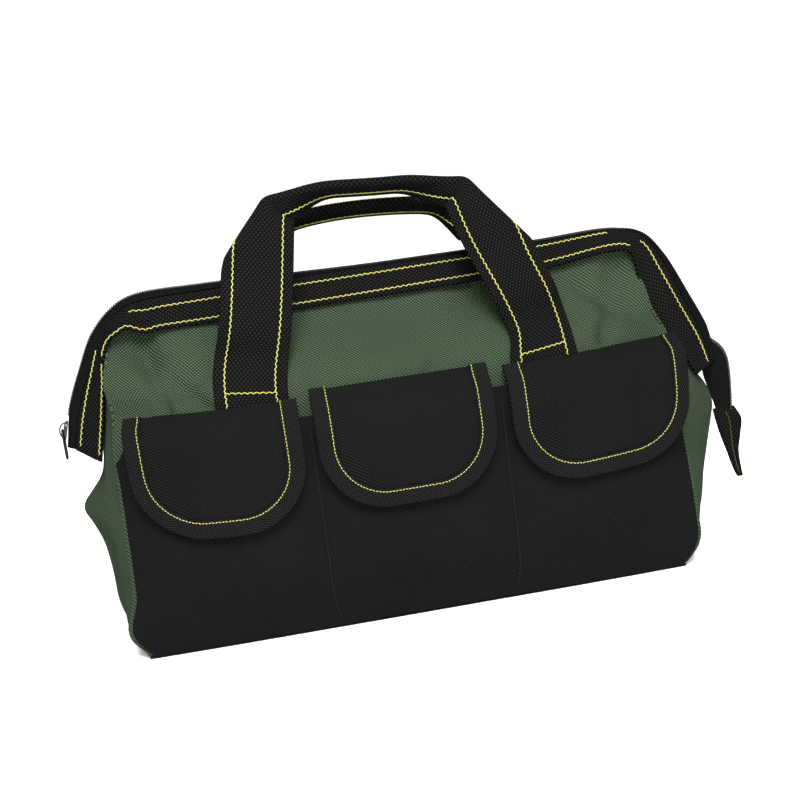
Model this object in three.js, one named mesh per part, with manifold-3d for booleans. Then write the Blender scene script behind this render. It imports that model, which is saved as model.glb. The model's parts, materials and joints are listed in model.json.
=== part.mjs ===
// Wide mouth tool bag: green cloth body on a stiff base, three flap pockets on the front,
// a webbing-covered mouth that closes to a line under a zip, and two webbing handles.
// Millimetres, +Z up, front towards -Y, origin at the middle of the base's underside.
import * as THREE from 'three';
import Module from 'manifold-3d';
import { mergeVertices } from 'three/addons/utils/BufferGeometryUtils.js';

const { Vector3 } = THREE;

// Driving dimensions
const CLOTH = 1.6;
const BASE_THICK = 2.4;
const GAP = 0.4;
const CORNER_POWER = 4;
const WEBBING_WIDE = 50;
const WEBBING_THICK = 2.4;
const BAND_THICK = 3.6;
const TAPE_THICK = 1.2;
const FLAP_TOP = 164;
const FLAP_BOTTOM = 82;
const FLAP_ROUND = 46;
const FLAP_CREASE = 2;
const BINDING_WIDE = 12.5;
const BINDING_THICK = 1;
const BINDING_GAP = 0.8;
const POCKET_TOP = 153;
const POCKET_SWELL = 7;
const POCKET_FULL = 60;
const POCKET_DRAWN = 110;
const POCKET_REACH = 0.985;
const POCKET_COUNT = 3;
const POCKET_DRAW = 0.45;
const POCKET_POWER = 0.6;
const STRAP_FROM = 120;
const STRAP_TO = 150;
const PANEL_ROWS = [2.8, 7, 12, 28, 48, 75, 104, 132, 150, 161, 172, 183, 194, 202, 208, 213, 219];
const MOUTH_LEVEL = 217;
const GUSSET_TOP = 204;
const END_POWER = 1.25;
const SEAM_TUCK = 1.6;
const ROUND_OUTLINE = 9;
const ROUND_DEPTH = 9;
const ROUND_FOLD = 5;

// Body outline at each height: half length, depth at the side seams, depth in the middle
const BODY = [
  { z: 0, half: 184, seam: 84, middle: 85 },
  { z: 20, half: 203, seam: 84.5, middle: 88 },
  { z: 40, half: 204, seam: 80, middle: 90 },
  { z: 75, half: 203, seam: 73, middle: 90 },
  { z: 142, half: 203, seam: 49, middle: 85 },
  { z: 172, half: 201, seam: 36, middle: 75 },
  { z: 196, half: 197, seam: 25, middle: 44 },
  { z: 209, half: 193, seam: 16, middle: 18 },
  { z: 222, half: 189, seam: 11, middle: 11.5 },
];

// Fold line down the middle of each end cloth: its reach from the middle of the bag
const END_FOLD = {
  left: [
    { z: 0, reach: 193 }, { z: 25, reach: 214 }, { z: 62, reach: 225 }, { z: 97, reach: 235 },
    { z: 126, reach: 212.5 }, { z: 150, reach: 209 }, { z: 184, reach: 204 }, { z: 204, reach: 199 },
  ],
  right: [
    { z: 0, reach: 194 }, { z: 25, reach: 228 }, { z: 60, reach: 243 }, { z: 97, reach: 251 },
    { z: 122, reach: 229 }, { z: 149, reach: 218 }, { z: 172, reach: 209 }, { z: 204, reach: 197 },
  ],
};

// Webbing round one side of the mouth: both edges, up the left arm, along the top, down the right
const MOUTH = [
  { innerX: -214, innerZ: 130, outerX: -232, outerZ: 139, rise: 6 },
  { innerX: -208, innerZ: 158, outerX: -224.5, outerZ: 166, rise: 6 },
  { innerX: -203, innerZ: 184, outerX: -213, outerZ: 193, rise: 5 },
  { innerX: -199, innerZ: 207, outerX: -202, outerZ: 215, rise: 5 },
  { innerX: -193, innerZ: 216, outerX: -188, outerZ: 231, rise: 6 },
  { innerX: -180, innerZ: 217.5, outerX: -174, outerZ: 237.5, rise: 7 },
  { innerX: -120, innerZ: 217.5, outerX: -120, outerZ: 239.5, rise: 7 },
  { innerX: 0, innerZ: 217.5, outerX: 0, outerZ: 239.5, rise: 6 },
  { innerX: 120, innerZ: 217.5, outerX: 120, outerZ: 237, rise: 4 },
  { innerX: 184, innerZ: 217.5, outerX: 188, outerZ: 234.5, rise: 3.5 },
  { innerX: 196, innerZ: 213, outerX: 203, outerZ: 228, rise: 4 },
  { innerX: 201, innerZ: 201, outerX: 214, outerZ: 212, rise: 6 },
  { innerX: 212, innerZ: 172, outerX: 229, outerZ: 179, rise: 6 },
  { innerX: 222, innerZ: 149, outerX: 239, outerZ: 154, rise: 6 },
  { innerX: 231, innerZ: 125, outerX: 246, outerZ: 130, rise: 6 },
];
const MOUTH_STEPS = 36;
const INNER_DEPTH = 17.5;
const OUTER_DEPTH = 7;
const ARM_FLARE = 4;
const ARM_END = 130;
const SLIDER_AT = 0.03;
const COIL_FROM = 0.06;

// Handles: middle of the strap on its way up, and the fold that makes the grip
const HANDLES = {
  front: { kneeX: 93, kneeZ: 214, bendX: 81.5, bendZ: 262, cornerX: 73, cornerZ: 295.5,
    crownZ: 303.5, depth: 27, lean: -0.85, settle: 4, foldFrom: 250 },
  back: { kneeX: 97, kneeZ: 212, bendX: 89, bendZ: 248, cornerX: 82, cornerZ: 275,
    crownZ: 289, depth: 9, lean: 1.35, settle: 2, foldFrom: 232 },
};
const FOOT_X = 102.5;
const FOOT_GAP = 0.9;
const FOOT_LOW = 148;
const FOOT_SEWN = 172;
const FOLD_ANGLE = 2.85;
const FOLD_SPAN = 8;
const MITRE_LEAST = 0.5;

// Zip end beyond the right arm, and the webbing tab on it: edges from top to bottom
const TAIL = [
  { leftX: 252, rightX: 256, z: 143 },
  { leftX: 253.6, rightX: 260, z: 139 },
  { leftX: 255, rightX: 263.5, z: 130.5 },
  { leftX: 250, rightX: 264.3, z: 126 },
  { leftX: 248.5, rightX: 265, z: 117 },
  { leftX: 251, rightX: 265, z: 104 },
  { leftX: 252.5, rightX: 264.5, z: 88.5 },
];
const TAB = [
  { leftX: 252, rightX: 273, z: 88 },
  { leftX: 255, rightX: 271, z: 70 },
  { leftX: 258, rightX: 268, z: 55 },
  { leftX: 263, rightX: 269.5, z: 40 },
  { leftX: 266, rightX: 270.5, z: 33 },
];
const TAB_THICK = 4.5;
const COIL_WIDE = 5;
const COIL_TALL = 2.6;

// Pocket flaps, left to right
const FLAPS = [
  { name: 'left', middle: -131, wide: 116 },
  { name: 'middle', middle: -2, wide: 124 },
  { name: 'right', middle: 136.5, wide: 128 },
];

// Slider and its wire pull
const SLIDER = {
  long: 14, wide: 10, waist: 6, thick: 2.4, bridgeInset: 1, bridgeTall: 4.2, bridgeWide: 3, bar: 1.2,
};
const PULL = { long: 22, wide: 8, wire: 1.5 };
const PULL_STAND = 1.2;

// How finely each curved surface is divided
const STEPS = {
  wall: 14, pocket: 18, flap: 10, flapTurn: 7, base: 14, endAcross: 12, endUp: 13, coil: 6,
  leg: 11, grip: 6, fold: 8, arc: 8, loop: 24, wire: 6,
};

const COLOURS = {
  green: { color: 0x34573a, roughness: 0.85, metalness: 0 },
  black: { color: 0x1c1c1e, roughness: 0.9, metalness: 0 },
  webbing: { color: 0x161616, roughness: 0.85, metalness: 0 },
  tape: { color: 0x131313, roughness: 0.8, metalness: 0 },
  coil: { color: 0x101010, roughness: 0.5, metalness: 0 },
  metal: { color: 0x8c8c8c, roughness: 0.35, metalness: 1 },
  wire: { color: 0x3a3a3c, roughness: 0.4, metalness: 1 },
};

// Straight-line value of a table's column at a place
function between(table, by, column, at) {
  let k = 0;
  while (k < table.length - 2 && at > table[k + 1][by]) k += 1;
  const part = (at - table[k][by]) / (table[k + 1][by] - table[k][by]);
  return THREE.MathUtils.lerp(table[k][column], table[k + 1][column], THREE.MathUtils.clamp(part, 0, 1));
}

// Rounded value of a table's column: the straight-line one averaged over a short reach
function rounded(table, by, column, at, reach) {
  const steps = [-1, -0.5, 0, 0.5, 1];
  return steps.reduce((sum, s) => sum + between(table, by, column, at + s * reach), 0) / steps.length;
}

function smooth(low, high, value) {
  return THREE.MathUtils.smoothstep(value, low, high);
}

// Closed solid between two grids of points, the outer one seen with its rows going up
function solidBetween(outer, inner) {
  const rows = outer.length;
  const columns = outer[0].length;
  const points = [...outer.flat(), ...inner.flat()];
  const back = rows * columns;
  const id = (layer, row, column) => layer * back + row * columns + column;
  const index = [];
  const quad = (a, b, c, d) => index.push(a, b, c, a, c, d);
  for (let r = 0; r < rows - 1; r += 1) {
    for (let c = 0; c < columns - 1; c += 1) {
      quad(id(0, r, c), id(0, r, c + 1), id(0, r + 1, c + 1), id(0, r + 1, c));
      quad(id(1, r, c), id(1, r + 1, c), id(1, r + 1, c + 1), id(1, r, c + 1));
    }
  }
  const side = columns - 1;
  for (let c = 0; c < side; c += 1) {
    quad(id(0, 0, c), id(1, 0, c), id(1, 0, c + 1), id(0, 0, c + 1));
    quad(id(0, rows - 1, c), id(0, rows - 1, c + 1), id(1, rows - 1, c + 1), id(1, rows - 1, c));
  }
  for (let r = 0; r < rows - 1; r += 1) {
    quad(id(0, r, 0), id(0, r + 1, 0), id(1, r + 1, 0), id(1, r, 0));
    quad(id(0, r, side), id(1, r, side), id(1, r + 1, side), id(0, r + 1, side));
  }
  return facing(points, index);
}

// Closed tube through rings of points, capped at both ends unless it joins up
function tube(rings, joined) {
  const sides = rings[0].length;
  const index = [];
  const last = joined ? rings.length : rings.length - 1;
  for (let r = 0; r < last; r += 1) {
    const next = (r + 1) % rings.length;
    for (let s = 0; s < sides; s += 1) {
      const t = (s + 1) % sides;
      index.push(r * sides + s, r * sides + t, next * sides + t);
      index.push(r * sides + s, next * sides + t, next * sides + s);
    }
  }
  const end = (rings.length - 1) * sides;
  for (let s = 1; s < sides - 1 && !joined; s += 1) {
    index.push(0, s + 1, s, end, end + s, end + s + 1);
  }
  return facing(rings.flat(), index);
}

// Geometry from points and triangles, turned so that its faces point out
function facing(points, index) {
  let volume = 0;
  for (let k = 0; k < index.length; k += 3) {
    const [a, b, c] = [points[index[k]], points[index[k + 1]], points[index[k + 2]]];
    volume += a.dot(b.clone().cross(c));
  }
  const order = volume < 0 ? [0, 2, 1] : [0, 1, 2];
  const turned = index.map((_, k) => index[k - (k % 3) + order[k % 3]]);
  const geometry = new THREE.BufferGeometry();
  const numbers = points.flatMap((p) => p.toArray());
  geometry.setAttribute('position', new THREE.Float32BufferAttribute(numbers, 3));
  geometry.setIndex(turned);
  return geometry;
}

// Grid of points from a function of two numbers from 0 to 1
function grid(point, columns, rows) {
  return Array.from({ length: rows + 1 }, (_, r) =>
    Array.from({ length: columns + 1 }, (_, c) => point(c / columns, r / rows)));
}

// Grid moved along its own normals, by a distance
function offset(points, distance) {
  const rows = points.length - 1;
  const columns = points[0].length - 1;
  return points.map((row, r) => row.map((p, c) => {
    const across = row[Math.min(c + 1, columns)].clone().sub(row[Math.max(c - 1, 0)]);
    const up = points[Math.min(r + 1, rows)][c].clone().sub(points[Math.max(r - 1, 0)][c]);
    return p.clone().addScaledVector(across.cross(up).normalize(), distance);
  }));
}

// A cloth wall whose outer face is the grid
function cloth(points, thick) {
  return solidBetween(points, offset(points, -thick));
}

// The same shape on the other side of the bag's middle plane, front to back
function toBack(geometry) {
  const p = geometry.getAttribute('position');
  const points = Array.from({ length: p.count }, (_, k) => new Vector3(p.getX(k), -p.getY(k), p.getZ(k)));
  return facing(points, Array.from(geometry.getIndex().array));
}

// Outer face of the front cloth at a share of the half length, -1 to 1, and a height
function frontWall(share, z) {
  const half = rounded(BODY, 'z', 'half', z, ROUND_OUTLINE);
  const seam = rounded(BODY, 'z', 'seam', z, ROUND_DEPTH);
  const middle = rounded(BODY, 'z', 'middle', z, ROUND_DEPTH);
  const bulge = (middle - seam) * (1 - Math.abs(share) ** CORNER_POWER);
  return new Vector3(half * share, -(seam + bulge), z);
}

function frontPanel() {
  const last = PANEL_ROWS.length - 1;
  const wall = grid((u, v) => frontWall(2 * u - 1, PANEL_ROWS[Math.round(v * last)]), STEPS.wall, last);
  return cloth(wall, CLOTH);
}

// Pocket cloth: how far it stands off the front cloth, sewn down at its seams and foot
function pocketOff(share, z) {
  const inPocket = Math.abs(Math.sin((POCKET_COUNT / 2) * Math.PI * (share / POCKET_REACH + 1)));
  const rise = smooth(0, POCKET_FULL, z) * (1 - POCKET_DRAW * smooth(POCKET_DRAWN, POCKET_TOP, z));
  const strap = (WEBBING_THICK + FOOT_GAP) * smooth(STRAP_FROM, STRAP_TO, z);
  return CLOTH + GAP + strap + POCKET_SWELL * rise * inPocket ** POCKET_POWER;
}

// A point in front of the front cloth, by a distance along its normal
function before(share, z, distance) {
  const step = 0.01;
  const p = frontWall(share, z);
  const across = frontWall(share + step, z).sub(frontWall(share - step, z));
  const up = frontWall(share, z + 1).sub(frontWall(share, z - 1));
  return p.addScaledVector(across.cross(up).normalize(), distance);
}

function pocketPanel() {
  const rows = [...PANEL_ROWS.filter((z) => z < POCKET_TOP - CLOTH), POCKET_TOP];
  const last = rows.length - 1;
  const face = grid((u, v) => {
    const share = POCKET_REACH * (2 * u - 1);
    const z = rows[Math.round(v * last)];
    return before(share, z, pocketOff(share, z));
  }, STEPS.pocket, last);
  return cloth(face, CLOTH);
}

// Flap: half its width at a height, straight above and rounded at the bottom corners
function flapHalf(z, wide, inset) {
  const round = FLAP_ROUND - inset;
  const below = Math.max(0, FLAP_CENTRE - z);
  return wide / 2 - FLAP_ROUND + Math.sqrt(Math.max(0, round * round - below * below));
}

// Heights of a flap's rows down its straight sides, and the turns round its corners
const FLAP_CENTRE = FLAP_BOTTOM + FLAP_ROUND;
const FLAP_SIDES = [0, 0.25, 0.5, 0.75].map((t) => THREE.MathUtils.lerp(FLAP_TOP, FLAP_CENTRE, t));
const FLAP_TURNS = Array.from({ length: STEPS.flapTurn + 1 }, (_, k) => (k / STEPS.flapTurn) * (Math.PI / 2));

// A point on a flap's outer face, hung over the pocket
function flapFace(x, z, above) {
  const share = x / between(BODY, 'z', 'half', z);
  const hang = 1 - smooth(POCKET_TOP, FLAP_TOP + FLAP_CREASE, z);
  const over = pocketOff(share, Math.min(z, POCKET_TOP)) + 2 * CLOTH + BINDING_THICK + BINDING_GAP;
  const sewn = WEBBING_THICK + CLOTH + BINDING_THICK + BINDING_GAP + FOOT_GAP + GAP;
  return before(share, z, THREE.MathUtils.lerp(sewn, Math.max(over, sewn), hang) + above);
}

function flap(middle, wide) {
  const inset = BINDING_THICK + BINDING_GAP;
  const bend = FLAP_TURNS.map((a) => FLAP_CENTRE - (FLAP_ROUND - inset) * Math.sin(a));
  const heights = [...FLAP_SIDES, ...bend].reverse();
  const face = heights.map((z) => {
    const half = flapHalf(z, wide, inset);
    const place = (c) => middle + half * ((2 * c) / STEPS.flap - 1);
    return Array.from({ length: STEPS.flap + 1 }, (_, c) => flapFace(place(c), z, 0));
  });
  return cloth(face, CLOTH);
}

// Binding: a folded tape round the flap's sides and bottom, open at the top
function flapBinding(middle, wide) {
  const reach = wide / 2 - FLAP_ROUND;
  const side = FLAP_SIDES.map((z) => ({ x: -wide / 2, z, inX: 1, inZ: 0 }));
  const corner = FLAP_TURNS.map((a) => {
    const [inX, inZ] = [Math.cos(a), Math.sin(a)];
    return { x: -reach - FLAP_ROUND * inX, z: FLAP_CENTRE - FLAP_ROUND * inZ, inX, inZ };
  });
  const half = [...side, ...corner];
  const other = half.map((p) => ({ ...p, x: -p.x, inX: -p.inX })).reverse();
  const path = [...half, { x: 0, z: FLAP_BOTTOM, inX: 0, inZ: 1 }, ...other];
  const layer = (edge, front, rear) => path.map((p) => [
    [BINDING_WIDE, front], [edge, front], [edge, rear], [BINDING_WIDE, rear],
  ].map(([inward, above]) => flapFace(middle + p.x + p.inX * inward, p.z + p.inZ * inward, above)));
  const skin = BINDING_GAP + BINDING_THICK;
  const outer = layer(0, skin, -CLOTH - skin);
  const inner = layer(BINDING_THICK, BINDING_GAP, -CLOTH - BINDING_GAP);
  return solidBetween(outer, inner);
}

function basePanel() {
  const shape = new THREE.Shape();
  const place = (k) => frontWall((2 * k) / STEPS.base - 1, BASE_THICK);
  const edge = Array.from({ length: STEPS.base + 1 }, (_, k) => place(k));
  edge.forEach((p, k) => (k ? shape.lineTo(p.x, p.y) : shape.moveTo(p.x, p.y)));
  edge.reverse().forEach((p) => shape.lineTo(p.x, -p.y));
  shape.closePath();
  return new THREE.ExtrudeGeometry(shape, { depth: BASE_THICK, bevelEnabled: false });
}

// End cloth: from the front seam to the back one, folded outwards down its middle
function endCloth(side) {
  const fold = side < 0 ? END_FOLD.left : END_FOLD.right;
  const low = BASE_THICK + GAP;
  const tuck = CLOTH + GAP;
  const face = grid((u, v) => {
    const z = low + v * (GUSSET_TOP - low);
    const half = rounded(BODY, 'z', 'half', z, ROUND_OUTLINE) - tuck;
    const seam = rounded(BODY, 'z', 'seam', z, ROUND_DEPTH) - SEAM_TUCK * tuck;
    const across = side * (2 * u - 1);
    const bulge = rounded(fold, 'z', 'reach', z, ROUND_FOLD) - half;
    const x = half + bulge * (1 - Math.abs(across) ** END_POWER);
    return new Vector3(side * x, across * seam, z);
  }, STEPS.endAcross, STEPS.endUp);
  return cloth(face, CLOTH);
}

// Both edges of the mouth's webbing as smooth curves, with the depth of each
function mouthCurves() {
  const depth = (z) => INNER_DEPTH + ARM_FLARE * (1 - smooth(ARM_END, MOUTH_LEVEL, z));
  const inner = MOUTH.map((m) => new Vector3(m.innerX, -depth(m.innerZ), m.innerZ));
  const outer = MOUTH.map((m) => new Vector3(m.outerX, -OUTER_DEPTH, m.outerZ));
  const curve = (points) => new THREE.CatmullRomCurve3(points, false, 'centripetal');
  return { inner: curve(inner), outer: curve(outer) };
}

const mouth = mouthCurves();

function mouthBand() {
  const face = grid((u, v) => mouth.inner.getPoint(u).lerp(mouth.outer.getPoint(u), v), MOUTH_STEPS, 1);
  const middle = offset(face, BAND_THICK / 2);
  return cloth(middle, BAND_THICK);
}

// Ridge of the zip beyond the webbing's outer edge, on the bag's middle plane
function ridge(t) {
  const edge = mouth.outer.getPoint(t);
  const along = mouth.outer.getTangent(t);
  const out = new Vector3(-along.z, 0, along.x).normalize();
  const place = t * (MOUTH.length - 1);
  const k = Math.min(Math.floor(place), MOUTH.length - 2);
  const rise = THREE.MathUtils.lerp(MOUTH[k].rise, MOUTH[k + 1].rise, place - k);
  return { point: edge.clone().setY(0).addScaledVector(out, rise), out, edge };
}

function zipTape() {
  const face = grid((u, v) => {
    const { point, out, edge } = ridge(u);
    const start = edge.clone().addScaledVector(out, GAP + TAPE_THICK / 2);
    const end = point.clone().setY(-COIL_WIDE / 2 - 2 * GAP);
    return start.lerp(end, v);
  }, MOUTH_STEPS, 1);
  return cloth(offset(face, TAPE_THICK / 2), TAPE_THICK);
}

function ellipseRing(centre, wideAxis, tallAxis, wide, tall, sides) {
  return Array.from({ length: sides }, (_, s) => {
    const a = (s / sides) * 2 * Math.PI;
    return centre.clone().addScaledVector(wideAxis, (wide / 2) * Math.cos(a))
      .addScaledVector(tallAxis, (tall / 2) * Math.sin(a));
  });
}

function zipCoil() {
  const across = new Vector3(0, 1, 0);
  const rings = Array.from({ length: MOUTH_STEPS + 1 }, (_, k) => {
    const { point, out } = ridge(COIL_FROM + (1 - COIL_FROM) * (k / MOUTH_STEPS));
    return ellipseRing(point, across, out, COIL_WIDE, COIL_TALL, STEPS.coil);
  });
  return tube(rings, false);
}

// A hanging flat piece between its left and right edges, in the bag's middle plane
function hanging(table, thick) {
  const rows = [...table].reverse();
  const face = rows.map(({ leftX, rightX, z }) =>
    [leftX, (leftX + rightX) / 2, rightX].map((x) => new Vector3(x, 0, z)));
  return cloth(offset(face, thick / 2), thick);
}

// Cross-section of a handle strap: flat, or folded over at a line across its width
function strapSection(foldAt) {
  const edge = WEBBING_WIDE / 2;
  const reach = FOLD_SPAN / 2;
  const fold = Math.min(foldAt, edge - reach - 1);
  const bend = [-reach, -reach / 2, 0, reach / 2, reach].map((w) => fold + w);
  const stops = [-edge, (fold - reach - edge) / 2, ...bend, (fold + reach + edge) / 2, edge];
  const turnAt = (w) => FOLD_ANGLE * smooth(foldAt - reach, foldAt + reach, w);
  let a = -edge;
  let n = 0;
  return stops.map((stop, k) => {
    const step = k > 0 ? (stop - stops[k - 1]) / STEPS.fold : 0;
    for (let j = 0; j < STEPS.fold; j += 1) {
      const turn = turnAt(stop - (j + 0.5) * step);
      a += step * Math.cos(turn);
      n += step * Math.sin(turn);
    }
    return { a, n, turn: turnAt(stop) };
  });
}

// Middle line of a handle's strap from the left foot to the right one, with its own directions
function handleStations(shape) {
  const foot = (z) => before(-FOOT_X / between(BODY, 'z', 'half', z), z, FOOT_GAP + WEBBING_THICK / 2);
  const sewn = foot(FOOT_SEWN);
  const share = (z) => (z - FOOT_SEWN) / (shape.cornerZ - FOOT_SEWN);
  const depth = (z) => THREE.MathUtils.lerp(sewn.y, -shape.depth, share(z));
  const leg = new THREE.CatmullRomCurve3([
    foot(FOOT_LOW), foot((FOOT_LOW + FOOT_SEWN) / 2), sewn,
    new Vector3(-shape.kneeX, depth(shape.kneeZ), shape.kneeZ),
    new Vector3(-shape.bendX, depth(shape.bendZ), shape.bendZ),
    new Vector3(-shape.cornerX, -shape.depth, shape.cornerZ),
  ]);
  const legPoints = leg.getSpacedPoints(STEPS.leg);
  const gripPoints = Array.from({ length: STEPS.grip }, (_, k) => {
    const x = -shape.cornerX * (1 - (k + 1) / STEPS.grip);
    const arch = 1 - (x / shape.cornerX) ** 2;
    return new Vector3(x, -shape.depth, shape.cornerZ + (shape.crownZ - shape.cornerZ) * arch);
  });
  const half = [...legPoints, ...gripPoints];
  const corner = legPoints.length - 1;
  const whole = [...half, ...half.slice(0, -1).reverse().map((p) => p.clone().setX(-p.x))];
  return { whole, corner };
}

function handle(shape) {
  const { whole, corner } = handleStations(shape);
  const last = whole.length - 1;
  const outer = [];
  const inner = [];
  whole.forEach((p, k) => {
    const from = whole[Math.max(k - 1, 0)];
    const after = whole[Math.min(k + 1, last)];
    const way = p.clone().sub(from).normalize();
    const on = after.clone().sub(p).normalize();
    const along = way.clone().add(on).normalize();
    const stretch = k > 0 && k < last ? 1 / Math.max(MITRE_LEAST, along.dot(on)) : 1;
    const rear = new Vector3(0, 1, 0).addScaledVector(along, -along.y).normalize();
    const out = along.clone().cross(rear);
    const near = Math.min(k, last - k);
    const onGrip = smooth(corner, corner + shape.settle, near);
    const lean = shape.lean * onGrip;
    const outLean = out.clone().multiplyScalar(Math.cos(lean)).addScaledVector(rear, Math.sin(lean));
    const rearLean = rear.clone().multiplyScalar(Math.cos(lean)).addScaledVector(out, -Math.sin(lean));
    const closed = (p.z - shape.foldFrom) / (shape.cornerZ - shape.foldFrom);
    const spare = WEBBING_WIDE / 2 + FOLD_SPAN / 2;
    const foldAt = spare * (1 - THREE.MathUtils.clamp(closed, 0, 1)) - FOLD_SPAN / 4;
    const free = smooth(FOOT_SEWN, shape.kneeZ, p.z);
    const place = (s, side) => {
      const a = s.a - side * Math.sin(s.turn) * (WEBBING_THICK / 2);
      const n = s.n + side * Math.cos(s.turn) * (WEBBING_THICK / 2);
      const loose = p.clone().addScaledVector(outLean, a * stretch).addScaledVector(rearLean, n);
      const flat = p.clone().addScaledVector(out, s.a);
      const share = flat.x / between(BODY, 'z', 'half', flat.z);
      return before(share, flat.z, FOOT_GAP + WEBBING_THICK * (0.5 - side / 2)).lerp(loose, free);
    };
    const section = strapSection(foldAt);
    outer.push(section.map((s) => place(s, -1)));
    inner.push(section.map((s) => place(s, 1)));
  });
  return solidBetween(outer, inner);
}

const wasm = await Module();
wasm.setup();

function toSolid(geometry) {
  const bare = geometry.clone();
  bare.deleteAttribute('normal');
  bare.deleteAttribute('uv');
  const merged = mergeVertices(bare, 1e-4);
  const vertProperties = new Float32Array(merged.getAttribute('position').array);
  const triVerts = new Uint32Array(merged.getIndex().array);
  return new wasm.Manifold(new wasm.Mesh({ numProp: 3, vertProperties, triVerts }));
}

function fromSolid(solid) {
  const mesh = solid.getMesh();
  const geometry = new THREE.BufferGeometry();
  geometry.setAttribute('position', new THREE.BufferAttribute(new Float32Array(mesh.vertProperties), 3));
  geometry.setIndex(new THREE.BufferAttribute(new Uint32Array(mesh.triVerts), 1));
  return geometry;
}

// Slider: a waisted plate over the coil with an arched bridge that holds the pull
// Its own frame: +Z along the zip towards the top, -X away from the bag
function sliderShape() {
  const s = SLIDER;
  const [ahead, outward, left] = [new Vector3(0, 0, 1), new Vector3(-1, 0, 0), new Vector3(0, -1, 0)];
  const outline = new THREE.Shape();
  outline.moveTo(-s.waist / 2, 0);
  outline.lineTo(-s.waist / 2, -s.long / 2);
  outline.lineTo(s.waist / 2, -s.long / 2);
  outline.lineTo(s.waist / 2, 0);
  outline.absarc(0, s.long / 2 - s.wide / 2, s.wide / 2, 0, Math.PI, false);
  const cut = (depth) => ({ depth, bevelEnabled: false, curveSegments: STEPS.arc });
  const plate = new THREE.ExtrudeGeometry(outline, cut(s.thick));
  plate.applyMatrix4(new THREE.Matrix4().makeBasis(left, ahead, outward));
  const arch = new THREE.Shape();
  const bridgeHalf = s.long / 2 - s.bridgeInset;
  arch.absellipse(0, 0, bridgeHalf, s.bridgeTall, 0, Math.PI, false);
  const eye = new THREE.Path();
  eye.absellipse(0, s.bar / 2, bridgeHalf - s.bar, s.bridgeTall - 1.5 * s.bar, Math.PI, 0, true);
  arch.holes.push(eye);
  const bridge = new THREE.ExtrudeGeometry(arch, cut(s.bridgeWide));
  bridge.translate(0, s.thick - s.bar / 2, -s.bridgeWide / 2);
  bridge.applyMatrix4(new THREE.Matrix4().makeBasis(ahead, outward, left));
  return fromSolid(toSolid(plate).add(toSolid(bridge)));
}

function wirePull() {
  const straight = PULL.long - PULL.wide;
  const turns = Array.from({ length: STEPS.loop }, (_, k) => (k / STEPS.loop) * 2 * Math.PI);
  const radius = PULL.wide / 2;
  const across = new Vector3(1, 0, 0);
  const rings = turns.map((a) => {
    const drop = Math.sin(a) < 0 ? straight : 0;
    const out = new Vector3(0, Math.cos(a), Math.sin(a));
    const centre = new Vector3(0, 0, -drop).addScaledVector(out, radius);
    return ellipseRing(centre, out, across, PULL.wire, PULL.wire, STEPS.wire);
  });
  const loop = tube(rings, true);
  loop.translate(0, 0, -radius);
  return loop;
}

// Assembly
function piece(name, geometry, finish) {
  const mesh = new THREE.Mesh(geometry, new THREE.MeshStandardMaterial(COLOURS[finish]));
  mesh.geometry.computeVertexNormals();
  mesh.name = name;
  return mesh;
}

const bag = new THREE.Group();
const body = new THREE.Group();
const front = frontPanel();
body.add(piece('base_panel', basePanel(), 'black'));
body.add(piece('front_panel', front, 'green'));
body.add(piece('back_panel', toBack(front), 'green'));
body.add(piece('end_cloth_left', endCloth(-1), 'green'));
body.add(piece('end_cloth_right', endCloth(1), 'green'));
bag.add(body);

const pockets = new THREE.Group();
pockets.add(piece('pocket_panel', pocketPanel(), 'black'));
FLAPS.forEach(({ name, middle, wide }) => {
  pockets.add(piece(`flap_${name}`, flap(middle, wide), 'black'));
  pockets.add(piece(`flap_binding_${name}`, flapBinding(middle, wide), 'webbing'));
});
bag.add(pockets);

const opening = new THREE.Group();
const band = mouthBand();
const tape = zipTape();
opening.add(piece('mouth_band_front', band, 'webbing'));
opening.add(piece('mouth_band_back', toBack(band), 'webbing'));
opening.add(piece('zip_tape_front', tape, 'tape'));
opening.add(piece('zip_tape_back', toBack(tape), 'tape'));
opening.add(piece('zip_coil', zipCoil(), 'coil'));
opening.add(piece('zip_tail', hanging(TAIL, 2 * TAPE_THICK), 'tape'));
opening.add(piece('zip_end_tab', hanging(TAB, TAB_THICK), 'webbing'));
bag.add(opening);

// Slider group: turned along the zip and set just outside the coil
const seat = ridge(SLIDER_AT);
const slider = new THREE.Group();
slider.add(piece('zip_slider', sliderShape(), 'metal'));
slider.position.copy(seat.point).addScaledVector(seat.out, COIL_TALL / 2 + GAP);
slider.rotation.y = Math.atan2(seat.out.z, -seat.out.x);
opening.add(slider);
const pull = piece('zip_pull', wirePull(), 'wire');
pull.position.copy(slider.position).addScaledVector(seat.out, SLIDER.thick + PULL_STAND);
opening.add(pull);

const straps = new THREE.Group();
straps.add(piece('handle_front', handle(HANDLES.front), 'webbing'));
straps.add(piece('handle_back', toBack(handle(HANDLES.back)), 'webbing'));
bag.add(straps);

export default bag;
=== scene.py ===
# %% [markdown]
# # A wide mouth tool bag
# A green canvas bag stands on a stiff base. Its mouth is closed to a line under a zip and edged with
# black webbing, three flap pockets sit on the front, and two webbing handles are folded into grips.
# The CAD frame gives every place and size. This lesson dresses it: cloth that sags, yarn, thread and teeth.

# %% Load the frame
import json
import bpy
import numpy as np
from mathutils import Matrix, Vector

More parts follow.
